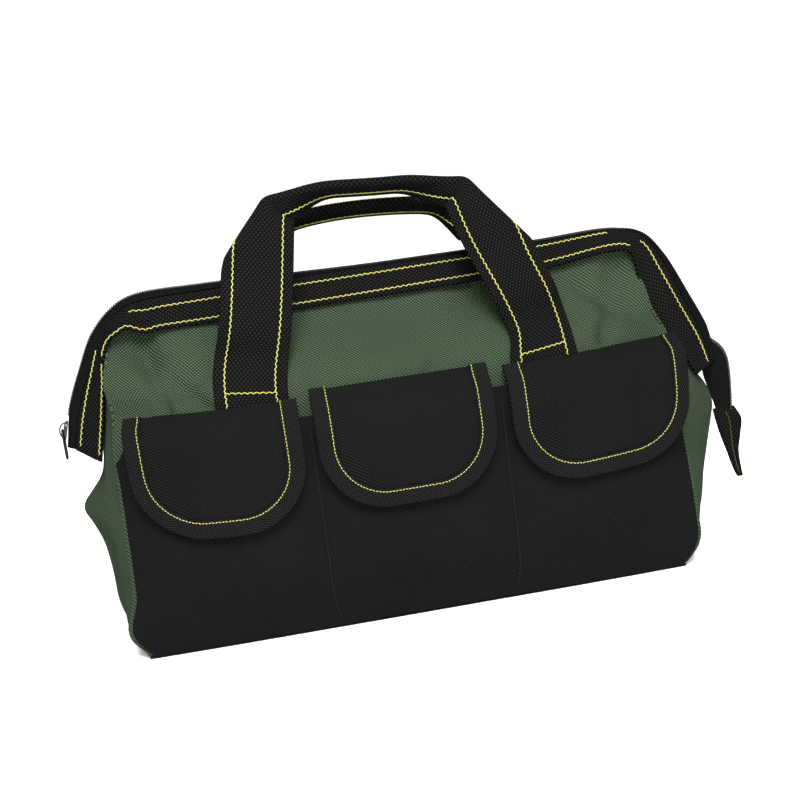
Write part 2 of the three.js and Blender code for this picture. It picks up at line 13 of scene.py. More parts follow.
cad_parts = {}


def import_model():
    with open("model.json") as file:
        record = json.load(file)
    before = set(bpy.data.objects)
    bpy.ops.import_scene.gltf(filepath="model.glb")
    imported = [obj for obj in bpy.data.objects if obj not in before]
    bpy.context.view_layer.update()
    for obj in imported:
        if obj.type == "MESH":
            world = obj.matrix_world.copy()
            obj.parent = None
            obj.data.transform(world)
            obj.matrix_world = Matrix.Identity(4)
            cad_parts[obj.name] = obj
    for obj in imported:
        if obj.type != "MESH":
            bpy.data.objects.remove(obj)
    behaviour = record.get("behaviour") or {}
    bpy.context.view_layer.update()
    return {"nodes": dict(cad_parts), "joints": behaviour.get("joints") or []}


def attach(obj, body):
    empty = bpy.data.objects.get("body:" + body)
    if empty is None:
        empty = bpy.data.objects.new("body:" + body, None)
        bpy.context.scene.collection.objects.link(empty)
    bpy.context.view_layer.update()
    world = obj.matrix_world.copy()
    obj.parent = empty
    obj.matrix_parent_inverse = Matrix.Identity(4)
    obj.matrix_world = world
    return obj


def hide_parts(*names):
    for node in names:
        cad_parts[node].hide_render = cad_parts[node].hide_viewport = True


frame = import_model()
print("frame parts:", len(frame["nodes"]))

# %% [markdown]
# ## Small sums used everywhere
# Sewn things are full of soft changes, and a few small helpers describe them. They work on whole arrays,
# so a surface of ten thousand points is one call. Lengths are in millimetres until a mesh is made.

# %% Steps, bells and tables
MM = 0.001
SIDEWAYS = np.array([0.0, 1.0, 0.0])


def ease(low, high, value):
    """Soft step from 0 to 1: t*t*(3 - 2t), with t the share of the way from low to high."""
    t = np.clip((value - low) / (high - low), 0.0, 1.0)
    return t * t * (3.0 - 2.0 * t)


def bell(off):
    """A smooth bump of height 1 round zero: exp(-off^2)."""
    return np.exp(-(off**2))


def rim(share, power):
    """Thickness between two edges at -1 and 1: the root of one minus a high power of the share."""
    return np.clip(1 - np.abs(share) ** power, 0, 1) ** 0.5


def read(table, column, at, reach):
    """A table's column at a place: straight lines between rows, averaged over five readings within reach."""
    places = [at + reach * step for step in (-1.0, -0.5, 0.0, 0.5, 1.0)]
    return np.mean([np.interp(place, table[:, 0], table[:, column]) for place in places], axis=0)


def unit(vectors):
    """Each vector divided by its own length."""
    return vectors / np.maximum(np.linalg.norm(vectors, axis=-1, keepdims=True), 1e-9)


def stacked(*parts):
    """Arrays stretched to one shape and set side by side in a last axis, such as x, y and z of points."""
    return np.stack(np.broadcast_arrays(*parts), axis=-1)


print("halfway eased:", ease(0, 10, 5.0))

# %% [markdown]
# ## Lines
# Threads, teeth and straps follow lines. A line is an array of points: a smooth curve through a few given
# ones, with a distance walked up to each. What is known at its points can be read off at other distances.

# %% Curves and distances


def curve(points, t):
    """Smooth curve through points at t from 0 to 1: a cubic for each span, whose end slopes come from
    the neighbouring points, with knots spaced by the square root of the distance between points."""
    points = np.asarray(points, float)
    held = np.concatenate([2 * points[:1] - points[1:2], points, 2 * points[-1:] - points[-2:-1]])
    place = np.clip(t, 0.0, 1.0) * (len(points) - 1)
    k = np.minimum(place.astype(int), len(points) - 2)
    w = (place - k)[:, None]
    p0, p1, p2, p3 = (held[k + j] for j in range(4))
    d0, d1, d2 = (np.sqrt(np.linalg.norm(b - a, axis=-1, keepdims=True)) + 1e-9
                  for a, b in ((p0, p1), (p1, p2), (p2, p3)))
    leave = ((p1 - p0) / d0 - (p2 - p0) / (d0 + d1) + (p2 - p1) / d1) * d1
    arrive = ((p2 - p1) / d1 - (p3 - p1) / (d1 + d2) + (p3 - p2) / d2) * d1
    square = 3 * (p2 - p1) - 2 * leave - arrive
    cube = 2 * (p1 - p2) + leave + arrive
    return p1 + leave * w + square * w**2 + cube * w**3


def run_along(points, axis=0):
    """Distance walked up to each point along an axis of an array: the lengths of the steps, added up."""
    first = np.take(points, [0], axis)
    return np.linalg.norm(np.diff(points, axis=axis, prepend=first), axis=-1).cumsum(axis)


def read_line(at, run, line):
    """A line's points or directions at other distances along it, straight between neighbours."""
    return stacked(*(np.interp(at, run, part) for part in line.T))


def between(first, second, w):
    """A grid between two lines: first + (second - first) * w, a row for each pair of points."""
    return first[:, None] + (second - first)[:, None] * w[None, :, None]


def rings_round(line, left, top, wide, tall, sides):
    """Rings of points round a line: point + left * wide * cos(turn) + top * tall * sin(turn)."""
    turn = np.arange(sides) * 2 * np.pi / sides
    return (line[:, None] + wide * np.cos(turn)[None, :, None] * left[:, None]
            + tall * np.sin(turn)[None, :, None] * top[:, None])


print("walked along a square's edges:", run_along(np.array([(0, 0), (1, 0), (1, 1), (0, 1), (0, 0)])))

# %% [markdown]
# ## Grids
# A piece of cloth is a grid of points, numbered row by row. Three things are wanted of a grid: its
# four-cornered faces, its flat coordinates, so that the weave keeps its size however the cloth is bent,
# and its normals, so that it can be given a thickness.

# %% Faces, flat coordinates and normals


def grid_faces(rows, columns, round_rows=False, round_columns=False):
    """Four corner numbers for each cell of a grid whose points are numbered row by row."""
    r = np.arange(rows if round_rows else rows - 1)[:, None]
    c = np.arange(columns if round_columns else columns - 1)[None, :]
    up, on = (r + 1) % rows, (c + 1) % columns
    return stacked(r * columns + c, r * columns + on, up * columns + on, up * columns + c).reshape(-1, 4)


def spread(points):
    """Flat coordinates of a grid, in metres: distance along each row from its middle, and up each column."""
    across = run_along(points, axis=1)
    return stacked(across - across[:, -1:] / 2, run_along(points)) * MM


def strip_flat(w, line):
    """Flat coordinates of a woven strip, in metres: place across it, and distance along its middle line."""
    return stacked(w[None, :], run_along(line)[:, None]) * MM


def normals(points):
    """Unit normals of a grid: step along the row crossed with step along the column."""
    return unit(np.cross(np.gradient(points, axis=1), np.gradient(points, axis=0)))


print("faces of a grid of 3 by 4:", len(grid_faces(3, 4)))

# %% [markdown]
# ## Closed pieces
# Cloth has two faces and an edge all round, so a cloth piece is two grids of points joined by a rim.
# Thread, wire and teeth are rings of points carried along a line. Both come out closed, with faces
# outwards: the volume is measured, and a piece that measures negative is turned round.

# %% Shells, tubes and pieces
RING_ROUND = 0.004


def shell(outer, inner, flat=None):
    """Points, faces and flat coordinates of the closed solid between two grids."""
    rows, columns = outer.shape[:2]
    count = rows * columns
    face = grid_faces(rows, columns)
    ids = np.arange(count).reshape(rows, columns)
    edge = np.concatenate([ids[0, :-1], ids[:-1, -1], ids[-1, :0:-1], ids[:0:-1, 0]])
    after = np.roll(edge, -1)
    sides = stacked(after, edge, edge + count, after + count)
    points = np.concatenate([outer.reshape(-1, 3), inner.reshape(-1, 3)])
    flat = np.tile((spread(outer) if flat is None else flat).reshape(-1, 2), (2, 1))
    return points, np.concatenate([face, face[:, ::-1] + count, sides]), flat


def tubes(rings, joined=False):
    """Closed tubes: rings has shape (tubes, rings, sides, 3), with an even number of sides. Ends are capped
    with four-cornered faces unless each tube joins up."""
    many, along, sides = rings.shape[:3]
    side = grid_faces(along, sides, joined, True)
    starts = (np.arange(many) * along * sides)[:, None, None]
    faces = [(side[None] + starts).reshape(-1, 4)]
    if not joined:
        pair = np.arange(1, sides - 1, 2)
        near = stacked(0, pair, pair + 1, pair + 2)
        cap = np.concatenate([near[:, ::-1], near + (along - 1) * sides])
        faces.append((cap[None] + starts).reshape(-1, 4))
    run = run_along(rings.mean(axis=2), axis=1)
    flat = stacked(np.linspace(0, RING_ROUND, sides), run[..., None] * MM)
    return rings.reshape(-1, 3), np.concatenate(faces), flat.reshape(-1, 2)


def together(*parts):
    """Several closed shapes as one: their points in a row, and their corner numbers moved up to match."""
    starts = np.cumsum([0] + [len(p) for p, _, _ in parts[:-1]])
    return (np.concatenate([p for p, _, _ in parts]),
            np.concatenate([f + s for (_, f, _), s in zip(parts, starts)]),
            np.concatenate([u for _, _, u in parts]))


def make(name, shape, material, slot, *nodes, body="bag", sharp=40.0):
    """A piece of the bag from points, faces and flat coordinates, turned outwards by its volume."""
    points, faces, flat = shape
    a, b, c, d = (points[faces[:, k]] for k in range(4))
    volume = np.sum(a * np.cross(b, c)) + np.sum(a * np.cross(c, d))
    faces = faces[:, ::-1] if volume < 0 else faces
    mesh = bpy.data.meshes.new(name)
    mesh.from_pydata((points * MM).tolist(), [], faces.tolist())
    loops = np.empty(len(mesh.loops), np.int32)
    mesh.loops.foreach_get("vertex_index", loops)
    mesh.uv_layers.new(name="flat").uv.foreach_set("vector", flat[loops].astype(np.float32).ravel())
    mesh.shade_smooth()
    mesh.set_sharp_from_angle(angle=np.radians(sharp))
    mesh.materials.append(material)
    piece = bpy.data.objects.new(name, mesh)
    bpy.context.scene.collection.objects.link(piece)
    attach(piece, body)
    if nodes:
        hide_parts(*nodes)
    print(f"{name}: {len(points)} points")
    return piece


# %% [markdown]
# ## Yarns, shared by every woven thing
# Canvas, webbing and ribbed tape are all rows of yarn, and each row is shifted against the last. One
# node group draws that: it takes the piece's flat coordinates, and gives out the height of the yarns.
# A shift a little under half gives canvas its dotted diagonals, and half a yarn gives webbing its bricks.
# A second group is a slow cloud, for dye and metal that are a little uneven.

# %% Node groups
FLOAT, VECTOR = "NodeSocketFloat", "NodeSocketVector"
YARN_POWER, ROW_POWER = 1.2, 0.4


def new_group(name, inputs, outputs):
    """An empty shader group with named inputs, each with a kind and a first value, and named outputs."""
    group = bpy.data.node_groups.new(name, "ShaderNodeTree")
    for label, kind, value in inputs:
        socket = group.interface.new_socket(label, in_out="INPUT", socket_type=kind)
        if value is not None:
            socket.default_value = value
    for label, kind in outputs:
        group.interface.new_socket(label, in_out="OUTPUT", socket_type=kind)
    return group, group.nodes.new("NodeGroupInput"), group.nodes.new("NodeGroupOutput")


def fill(tree, node, values):
    """Fill a node's inputs by name or number: each value is a number, or another node's output to link."""
    for label, value in values.items():
        if isinstance(value, bpy.types.NodeSocket):
            tree.links.new(value, node.inputs[label])
        else:
            node.inputs[label].default_value = value
    return node


def add_node(tree, kind, values, **options):
    """A new shader node with its options set and its inputs filled."""
    node = tree.nodes.new(f"ShaderNode{kind}")
    for option, choice in options.items():
        setattr(node, option, choice)
    return fill(tree, node, values)


def sum_node(tree, operation, *values):
    """The result of one Math node."""
    return add_node(tree, "Math", dict(enumerate(values)), operation=operation).outputs[0]


def humps_node(tree, value, power):
    """Rounded humps, one for each whole number: |sin(pi * value)| to a power."""
    wave = sum_node(tree, "SINE", sum_node(tree, "MULTIPLY", value, np.pi))
    return sum_node(tree, "POWER", sum_node(tree, "ABSOLUTE", wave), power)


yarns, yarns_in, yarns_out = new_group(
    "rows of yarn",
    [("Flat", VECTOR, None), ("Yarn Length", FLOAT, 0.0015), ("Row Pitch", FLOAT, 0.001),
     ("Shift", FLOAT, 0.333)],
    [("Height", FLOAT)])
split = add_node(yarns, "SeparateXYZ", {0: yarns_in.outputs["Flat"]})
rows_up = sum_node(yarns, "DIVIDE", split.outputs["Y"], yarns_in.outputs["Row Pitch"])
yarns_on = sum_node(yarns, "DIVIDE", split.outputs["X"], yarns_in.outputs["Yarn Length"])
row = sum_node(yarns, "FLOOR", rows_up)
shifted = sum_node(yarns, "MULTIPLY_ADD", row, yarns_in.outputs["Shift"], yarns_on)
height = sum_node(yarns, "MULTIPLY", humps_node(yarns, rows_up, ROW_POWER),
                  humps_node(yarns, shifted, YARN_POWER))
fill(yarns, yarns_out, {"Height": height})

handled, handled_in, handled_out = new_group(
    "handled cloth",
    [("Place", VECTOR, None), ("Size", FLOAT, 14.0), ("Amount", FLOAT, 0.2)],
    [("Shade", FLOAT)])
place, size, amount = (handled_in.outputs[label] for label in ("Place", "Size", "Amount"))
clouds = add_node(handled, "TexNoise", {"Vector": place, "Scale": size, "Detail": 5.0})
centred = sum_node(handled, "SUBTRACT", clouds.outputs["Fac"], 0.5)
fill(handled, handled_out, {"Shade": sum_node(handled, "MULTIPLY_ADD", centred, amount, 1.0)})
print("node groups:", [group.name for group in bpy.data.node_groups])

# %% [markdown]
# ## Finishes
# All the cloths share one recipe: the yarn heights raise a bump and darken the colour in the gaps between
# yarns, which is painted shade, and the slow cloud makes the dye uneven. Only colour, yarn size and roughness
# differ from piece to piece.
# Cloth has no mirror-like shine of its own, so the recipe turns that off.

# %% Woven and plain materials
DYE_CLOUD, WEAR_SIZE = 0.3, 400.0


def new_surface(name):
    """A new material, its node tree, its surface shader and its coordinates."""
    material = bpy.data.materials.new(name)
    material.use_nodes = True
    tree = material.node_tree
    return material, tree, tree.nodes["Principled BSDF"], tree.nodes.new("ShaderNodeTexCoord")


def woven(name, colour, yarn, pitch, shift, depth, gap=0.55, rough=0.9):
    """A woven finish: base colour times yarn height from gap to 1, which paints shade into the gaps between
    yarns, times the cloud; bump depth in metres.
    """
    material, tree, surface, place = new_surface(name)
    yarn_values = {"Flat": place.outputs["UV"], "Yarn Length": yarn, "Row Pitch": pitch, "Shift": shift}
    height = add_node(tree, "Group", yarn_values, node_tree=yarns).outputs["Height"]
    dye_values = {"Place": place.outputs["Object"], "Amount": DYE_CLOUD}
    dye = add_node(tree, "Group", dye_values, node_tree=handled).outputs["Shade"]
    # Painted shade: the colour drops to the share gap where the yarn height is low, between yarns, times the
    # uneven dye.
    yarn_shade_and_dye = sum_node(tree, "MULTIPLY", sum_node(tree, "MULTIPLY_ADD", height, 1.0 - gap, gap), dye)
    paint = add_node(tree, "VectorMath", {0: colour, "Scale": yarn_shade_and_dye}, operation="SCALE")
    bump = add_node(tree, "Bump", {"Distance": depth, "Height": height})
    fill(tree, surface, {"Base Color": paint.outputs[0], "Normal": bump.outputs[0], "Roughness": rough,
                         "Specular IOR Level": 0.0})
    return material


def plain(name, colour, rough, metal, cloudy, shine=0.5):
    """A hard finish: one colour, with the cloud making the roughness uneven."""
    material, tree, surface, place = new_surface(name)
    wear_values = {"Place": place.outputs["Object"], "Size": WEAR_SIZE, "Amount": cloudy}
    worn = add_node(tree, "Group", wear_values, node_tree=handled).outputs["Shade"]
    fill(tree, surface, {"Base Color": (*colour, 1.0), "Metallic": metal, "Specular IOR Level": shine,
                         "Roughness": sum_node(tree, "MULTIPLY", worn, rough)})
    return material


# gap is how much colour the painted shade between yarns leaves; the green canvas has its gaps painted nearly
# black.
green_canvas = woven("green canvas", (0.0535, 0.0790, 0.0478), 0.0026, 0.0012, 0.42, 0.0007, gap=0.02)
black_oxford = woven("black oxford cloth", (0.0096, 0.0099, 0.0099), 0.0020, 0.0009, 0.42, 0.0003, gap=0.1)
strap_webbing = woven("black strap webbing", (0.0108, 0.0108, 0.0104), 0.0029, 0.0019, 0.5, 0.0010, gap=0.1)
ribbed_tape = woven("ribbed flap tape", (0.0141, 0.0141, 0.0138), 0.0018, 0.0016, 0.5, 0.0008, gap=0.1)
zip_cloth = woven("zip cloth", (0.0050, 0.0050, 0.0052), 0.0016, 0.0008, 0.5, 0.0002)
base_cloth = woven("base cloth", (0.009, 0.009, 0.0094), 0.0022, 0.0011, 0.5, 0.0003)
yellow_thread, olive_thread, black_thread = (
    woven(f"{name} thread", colour, 0.0012, 0.0009, 0.4, 0.0002, rough=0.6)
    for name, colour in (("yellow", (0.50, 0.49, 0.145)), ("olive", (0.07, 0.065, 0.024)),
                         ("black", (0.014, 0.014, 0.0145))))
tooth_nylon = plain("tooth nylon", (0.018, 0.018, 0.018), 0.42, 0.0, 0.4, shine=0.14)
slider_zinc = plain("slider zinc", (0.04, 0.04, 0.041), 0.34, 1.0, 0.6)
pull_steel = plain("pull wire", (0.022, 0.022, 0.023), 0.4, 1.0, 0.5)
print("finishes:", len(bpy.data.materials))

# %% [markdown]
# ## The leaning wall
# The front and back walls are flat at the base, full at pocket height and lean together at the mouth.
# A table of heights gives half length, depth at the side seams and depth in the middle. Between seams
# the depth follows one minus the fourth power of the way across, flat in the middle, round at the ends.

# %% Wall formula
BODY = np.array([
    (0, 184, 84, 85), (20, 203, 84.5, 88), (40, 204, 80, 90), (75, 203, 73, 90), (142, 203, 49, 85),
    (172, 201, 36, 75), (196, 197, 25, 44), (209, 193, 16, 18), (222, 189, 11, 11.5)], float)
BODY_SOFT = 9.0
CLOTH, CLOTH_FOOT = 1.6, 2.8


def left_extra(z):
    """How far the left end stands out past the table: 11.5 mm at the foot, where the cloth wraps round the
    board, and 5.5 under the mouth, each eased away between."""
    return 11.5 * (1 - ease(12, 48, z)) + 5.5 * ease(165, 190, z)


def right_extra(z):
    """The same for the right end: up to 4 mm at the foot, 6 behind the arm and 2 under the mouth."""
    foot = (2.0 + 2.0 * ease(0, 8, z)) * (1 - ease(10, 34, z))
    return foot + 6.0 * ease(125, 150, z) * (1 - ease(158, 186, z)) + 2.0 * ease(182, 212, z)


def half_length(z):
    """The table's half length at a height, with its corners left sharp."""
    return np.interp(z, BODY[:, 0], BODY[:, 1])


def front_wall(share, z):
    """Front cloth at a share of the half length, -1 to 1, and a height: x = half * share, let out at each
    end by that end's extra times a power of the share. The depth runs from the seam's to the middle's by
    one minus share to the fourth power."""
    half, seam, middle = (read(BODY, column, z, BODY_SOFT) for column in (1, 2, 3))
    depth = seam + (middle - seam) * (1.0 - np.abs(share) ** 4)
    left = left_extra(z) * np.clip(-share, 0, 1) ** 4
    right = right_extra(z) * np.clip(share, 0, 1) ** 8
    return stacked(half * share - left + right, -depth, z)


def before(share, z, distance):
    """A point in front of the front cloth: the wall's point plus its unit normal times the distance."""
    share, z, distance = np.broadcast_arrays(share, z, distance)
    across = front_wall(share + 0.01, z) - front_wall(share - 0.01, z)
    up = front_wall(share, z + 1.0) - front_wall(share, z - 1.0)
    return front_wall(share, z) + unit(np.cross(across, up)) * distance[..., None]


def backed(face):
    """A face of cloth and the same face a cloth's thickness behind it."""
    return face, face - CLOTH * normals(face)


def mirrored(points):
    """The same points on the other side of the bag, front to back."""
    return points * np.array([1.0, -1.0, 1.0])


print("wall at mid height:", front_wall(np.array(0.0), np.array(100.0)).round(1))

# %% [markdown]
# ## Green front and back
# The real wall is one layer of canvas that hangs between the mouth's wire frame and the base. Sewing it
# to the webbing gathers it, so shallow folds run down from the mouth, and a pleat falls from each top
# corner. The folds only go inwards, so nothing sewn in front of the wall is touched.

# %% Front and back cloth
FRONT_CREASES = (
    ((-186, 214), (-132, 168), 11, 6.0), ((-192, 166), (-128, 192), 11, 5.0),
    ((-176, 214), (-160, 166), 7, 4.0), ((186, 213), (150, 172), 10, 5.0),
    ((196, 176), (150, 206), 10, 4.0), ((66, 214), (20, 170), 12, 3.0))
BACK_CREASES = (
    ((-182, 212), (-150, 160), 8, 4.0), ((184, 212), (152, 150), 8, 4.0),
    ((-150, 120), (-60, 60), 22, 2.5), ((40, 130), (150, 70), 24, 2.5))
wall_share, wall_z = np.meshgrid(np.linspace(-1, 1, 241), np.linspace(CLOTH_FOOT, 225, 134))
wall_x = wall_share * 200


def gathers(x, z, phase):
    """Folds under the mouth: two sine waves across, drifting with height, strongest near the webbing."""
    wave = np.sin(x / 17 + phase + 0.8 * np.sin(z / 23)) + 0.7 * np.sin(x / 9.5 - z / 34 + 2 * phase)
    return 0.75 * (1.7 + wave) * ease(168, 205, z) * (1 - 0.5 * ease(208, 219, z))


def crease(x, z, start, end, wide, deep):
    """A soft groove along a straight line that narrows towards its end: depth times the bell of the distance
    to the line's nearest point over the width."""
    start, end = np.array(start, float), np.array(end, float)
    line = end - start
    part = np.clip(((x - start[0]) * line[0] + (z - start[1]) * line[1]) / (line @ line), 0.0, 1.0)
    off = np.hypot(x - start[0] - part * line[0], z - start[1] - part * line[1])
    return deep * bell(off / (wide * (1.1 - 0.6 * part)))


def wall_cloth(phase, creases):
    """Both faces of a wall: the wall's points moved inwards by the gathers plus every crease."""
    folds = sum((crease(wall_x, wall_z, *place) for place in creases), gathers(wall_x, wall_z, phase))
    return backed(before(wall_share, wall_z, -folds))


wall_flat = spread(front_wall(wall_share, wall_z))
front_faces = wall_cloth(0.4, FRONT_CREASES)
make("front_cloth", shell(*front_faces, wall_flat), green_canvas, "green_cloth", "front_panel")
back_faces = map(mirrored, wall_cloth(2.1, BACK_CREASES))
make("back_cloth", shell(*back_faces, wall_flat), green_canvas, "green_cloth", "back_panel")

# %% [markdown]
# ## Green ends
# At each end a gusset of the same canvas joins the walls. With the mouth shut it folds outwards down its
# middle, and the fold's point stands furthest out at the height where the two arms of the mouth stop.
# Across the gusset the cloth runs from seam to fold by one minus a power of the distance from the middle.

# %% End cloths
END_FOLD = {
    -1: np.array([(0, 203), (14, 219), (34, 223), (50, 224), (66, 226), (80, 231), (94, 238), (115, 219),
                  (126, 216), (150, 213), (184, 206), (204, 200), (214, 192)], float),
    1: np.array([(0, 200), (25, 232), (60, 243), (97, 252), (111, 248), (122, 240.5), (130, 235),
                 (139, 229.5), (149, 223), (172, 206), (204, 195), (214, 190)], float)}
END_INSET, SEAM_INSET, FOLD_REACH = 0.9, 1.5, 5.0
across_end, end_z = np.meshgrid(np.linspace(-1, 1, 91), np.linspace(CLOTH_FOOT, 214, 124))


def end_cloth(side):
    """Gusset face: x from the seam's half length to the fold's reach by 1 - |across|^1.25, with two slow
    waves of sag between seam and fold; y = across * seam."""
    half = read(BODY, 1, end_z, BODY_SOFT) - END_INSET + (left_extra if side < 0 else right_extra)(end_z)
    seam = read(BODY, 2, end_z, BODY_SOFT) - SEAM_INSET
    soft = np.sqrt(across_end**2 + 0.0006)
    full = np.clip(1 - soft**1.25, 0.0, None)
    reach = half + (read(END_FOLD[side], 1, end_z, FOLD_REACH) - half) * full
    sag = np.sin(end_z / 13 + 3 * across_end * side) + 0.7 * np.sin(end_z / 29 - 7 * across_end * side)
    sag = sag * np.sin(np.pi * across_end) ** 2
    reach += 1.7 * sag * ease(0, 30, end_z) * (1 - ease(130, 190, end_z)) - 1.2 * full
    return stacked(side * reach, side * across_end * seam, end_z)


for side, name in ((-1, "left"), (1, "right")):
    make(f"{name}_gusset", shell(*backed(end_cloth(side))), green_canvas, "green_cloth", f"end_cloth_{name}")

# %% [markdown]
# ## Base
# A stiff board covered in black cloth. Only its edge is ever seen, so it is a stack of outlines: the
# wall's own outline at the board's height, drawn in a little at the top and bottom for a soft edge.

# %% Base board
BOARD = 2.4
edge_share = np.linspace(-1, 1, 81)
front_edge = front_wall(edge_share, np.full_like(edge_share, BOARD))
outline = np.concatenate([front_edge, mirrored(front_edge)[::-1]])
levels = np.array([(0.0, 0.992), (0.35, 0.998), (1.2, 0.9995), (2.05, 0.998), (BOARD, 0.992)])
stack = outline[None] * levels[:, 1, None, None]
stack[..., 2] = levels[:, :1]
make("base_board", tubes(stack[None]), base_cloth, "black_cloth", "base_panel")

# %% [markdown]
# ## Thread
# The bag is sewn with thick yellow thread that lies in a soft zigzag. A stitch line is a path on a
# surface with the surface's normal. The thread swings to each side once per pitch and dips at each turn,
# where the needle took it down. Six sides are plenty for something a millimetre thick.

# %% Stitch lines
STITCH_PITCH, STITCH_STEPS = 4.2, 10


def thread(points, up, swing=0.45, radius=0.36, lift=0.26, dip=0.24, pitch=STITCH_PITCH):
    """A stitched thread along a path: centre = path + side * swing * sin(phase) + normal * (lift + dip *
    cos(twice the phase)), with phase one turn per pitch of distance; six-sided rings round it."""
    run = run_along(points)
    at = np.linspace(0, run[-1], max(12, int(run[-1] / pitch * STITCH_STEPS)))
    path, face = read_line(at, run, points), unit(read_line(at, run, up))
    side = unit(np.cross(unit(np.gradient(path, axis=0)), face))
    phase = 2 * np.pi * at / pitch
    path = path + side * (swing * np.sin(phase))[:, None] + face * (lift + dip * np.cos(2 * phase))[:, None]
    on = unit(np.gradient(path, axis=0))
    left = unit(np.cross(on, face))
    return tubes(rings_round(path, left, np.cross(left, on), radius, radius, 6)[None])


print("a stitch every", STITCH_PITCH, "mm")

# %% [markdown]
# ## Pocket cloth
# One length of black oxford cloth makes three pockets: it is sewn down at the foot, at both ends and
# along two seams, and swells between them. The swell follows the sine of the way across, three humps in
# all, raised to a power so that it is full in the middle and drops steeply to each seam.

# %% Pockets
POCKET_TOP, POCKET_REACH, POCKET_SWELL, STRAP_ROOM = 153.0, 0.985, 7.0, 3.3


def three_humps(share):
    """|sin| of three half turns from one end of the pocket cloth to the other."""
    return np.abs(np.sin(1.5 * np.pi * (share / POCKET_REACH + 1.0)))


def pocket_off(share, z, least=0.0):
    """Distance of the pocket cloth from the wall: cloth and gap, room for the straps above z 120, and
    the swell times the three humps to the power 0.6, or times least if that is more."""
    hump = np.maximum(three_humps(share) ** 0.6, least)
    rise = ease(0, 60, z) * (1 - 0.45 * ease(110, POCKET_TOP, z))
    return CLOTH + 0.4 + STRAP_ROOM * ease(120, 150, z) + POCKET_SWELL * rise * hump


pocket_share, pocket_up = np.meshgrid(np.linspace(-POCKET_REACH, POCKET_REACH, 361), np.linspace(0, 1, 80))
pocket_edge = POCKET_TOP - 18 * ease(0.9, POCKET_REACH, np.abs(pocket_share))
pocket_z = CLOTH_FOOT + pocket_up * (pocket_edge - CLOTH_FOOT)
ripple = np.sin(pocket_z / 11 + 4 * np.sin(pocket_share * 9)) * np.sin(pocket_share * 21 + pocket_z / 40)
slack = 0.8 * three_humps(pocket_share) * (1 + ripple) * ease(4, 30, pocket_z)
pocket_face = before(pocket_share, pocket_z, pocket_off(pocket_share, pocket_z) - slack)
make("pocket_cloth", shell(*backed(pocket_face)), black_oxford, "black_cloth", "pocket_panel", sharp=60.0)
seam_z = np.linspace(8, 148, 120)
seams = []
for seam_share in (-POCKET_REACH / 3, POCKET_REACH / 3):
    sewn = before(seam_share, seam_z, pocket_off(np.full_like(seam_z, seam_share), seam_z) + 0.4)
    seams.append(thread(sewn, sewn - before(seam_share, seam_z, 0.0), swing=0.3, radius=0.5))
make("pocket_seams", together(*seams), black_thread, "black_cloth")

# %% [markdown]
# ## Flaps
# Each pocket has a flap of the same cloth, folded at its top, sewn to the wall and hanging free over the
# pocket's edge. It follows the pocket's own swell, a little in front of it, puffs between its edges, and
# its width below the corner's centre is a circle's: straight half plus the root of r squared minus d squared.
# Each flap is given by its middle, its width and how much higher it is sewn than the left one.

# %% Flap cloth
FLAPS = {"left": (-131.0, 116.0, 0.0), "middle": (-2.0, 124.0, 3.8), "right": (135.6, 130.0, 1.0)}
FLAP_TOP, FLAP_BOTTOM, FLAP_ROUND = 164.0, 82.0, 46.0
FLAP_CENTRE, FLAP_TALL = FLAP_BOTTOM + FLAP_ROUND, FLAP_TOP - FLAP_BOTTOM
FLAP_INSET, FLAP_SEWN = 1.8, 7.1
FLAP_STIFF, FLAP_SLANT, FLAP_LEAST = 0.8, 0.17, 0.8


def flap_face(x, z, above):
    """A point on or near a flap's face: the pocket's distance, at least the sewn one and eased to it at the
    top, plus the height above the face. Past four fifths of the half length it runs on almost straight."""
    half = half_length(z)
    share = np.clip(x / half, -FLAP_STIFF, FLAP_STIFF)
    past = x - share * half
    hang = 1 - ease(POCKET_TOP, FLAP_TOP + 2, z)
    over = pocket_off(share, np.minimum(z, POCKET_TOP), FLAP_LEAST) + 2 * CLOTH + FLAP_INSET
    face = before(share, z, FLAP_SEWN + np.maximum(over - FLAP_SEWN, 0) * hang + above)
    return face + stacked(past, FLAP_SLANT * np.abs(past), 0.0)


def lift_of(x, z, middle, wide):
    """How far a flap's cloth lies off its plain shape: a puff in the middle and a slow wave at the bottom."""
    up = np.sin(np.pi * np.clip((z - FLAP_BOTTOM) / FLAP_TALL, 0, 1))
    puff = 1.1 * np.clip(1 - ((x - middle) / (wide / 2)) ** 2, 0, 1) * up
    return puff + 0.9 * np.sin((x - middle) / 15 + middle) * (1 - ease(84, 118, z)) ** 2


def flap_cloth(middle, wide, rise):
    """The flap's closed solid: rows of points from bottom to top, each as wide as the flap is there."""
    turn = np.linspace(np.pi / 2, 0, 24)
    bend = FLAP_CENTRE - (FLAP_ROUND - FLAP_INSET) * np.sin(turn)
    rows = np.concatenate([bend, np.linspace(FLAP_CENTRE, FLAP_TOP, 26)[1:]])[:, None]
    below = np.maximum(0, FLAP_CENTRE - rows)
    half = wide / 2 - FLAP_ROUND + np.sqrt(np.maximum(0, (FLAP_ROUND - FLAP_INSET) ** 2 - below**2))
    x = middle + half * np.linspace(-1, 1, 71)[None, :]
    z = np.broadcast_to(rows, x.shape)
    tuck = 1.6 * ease(FLAP_TOP - 3, FLAP_TOP, z) ** 2
    return shell(*backed(flap_face(x, z + rise, lift_of(x, z, middle, wide) - tuck)))


flaps = {side: make(f"{side}_flap", flap_cloth(*place), black_oxford, "black_cloth", f"flap_{side}")
         for side, place in FLAPS.items()}

# %% [markdown]
# ## Ribbed tape round the flaps
# A ribbed tape is folded over each flap's raw edge and sewn through with the yellow thread. Its path goes
# down one side, round the two corners and up the other, and its profile is a letter U: front face, rolled
# edge, rear face and back again inside, carried along the path as one array.

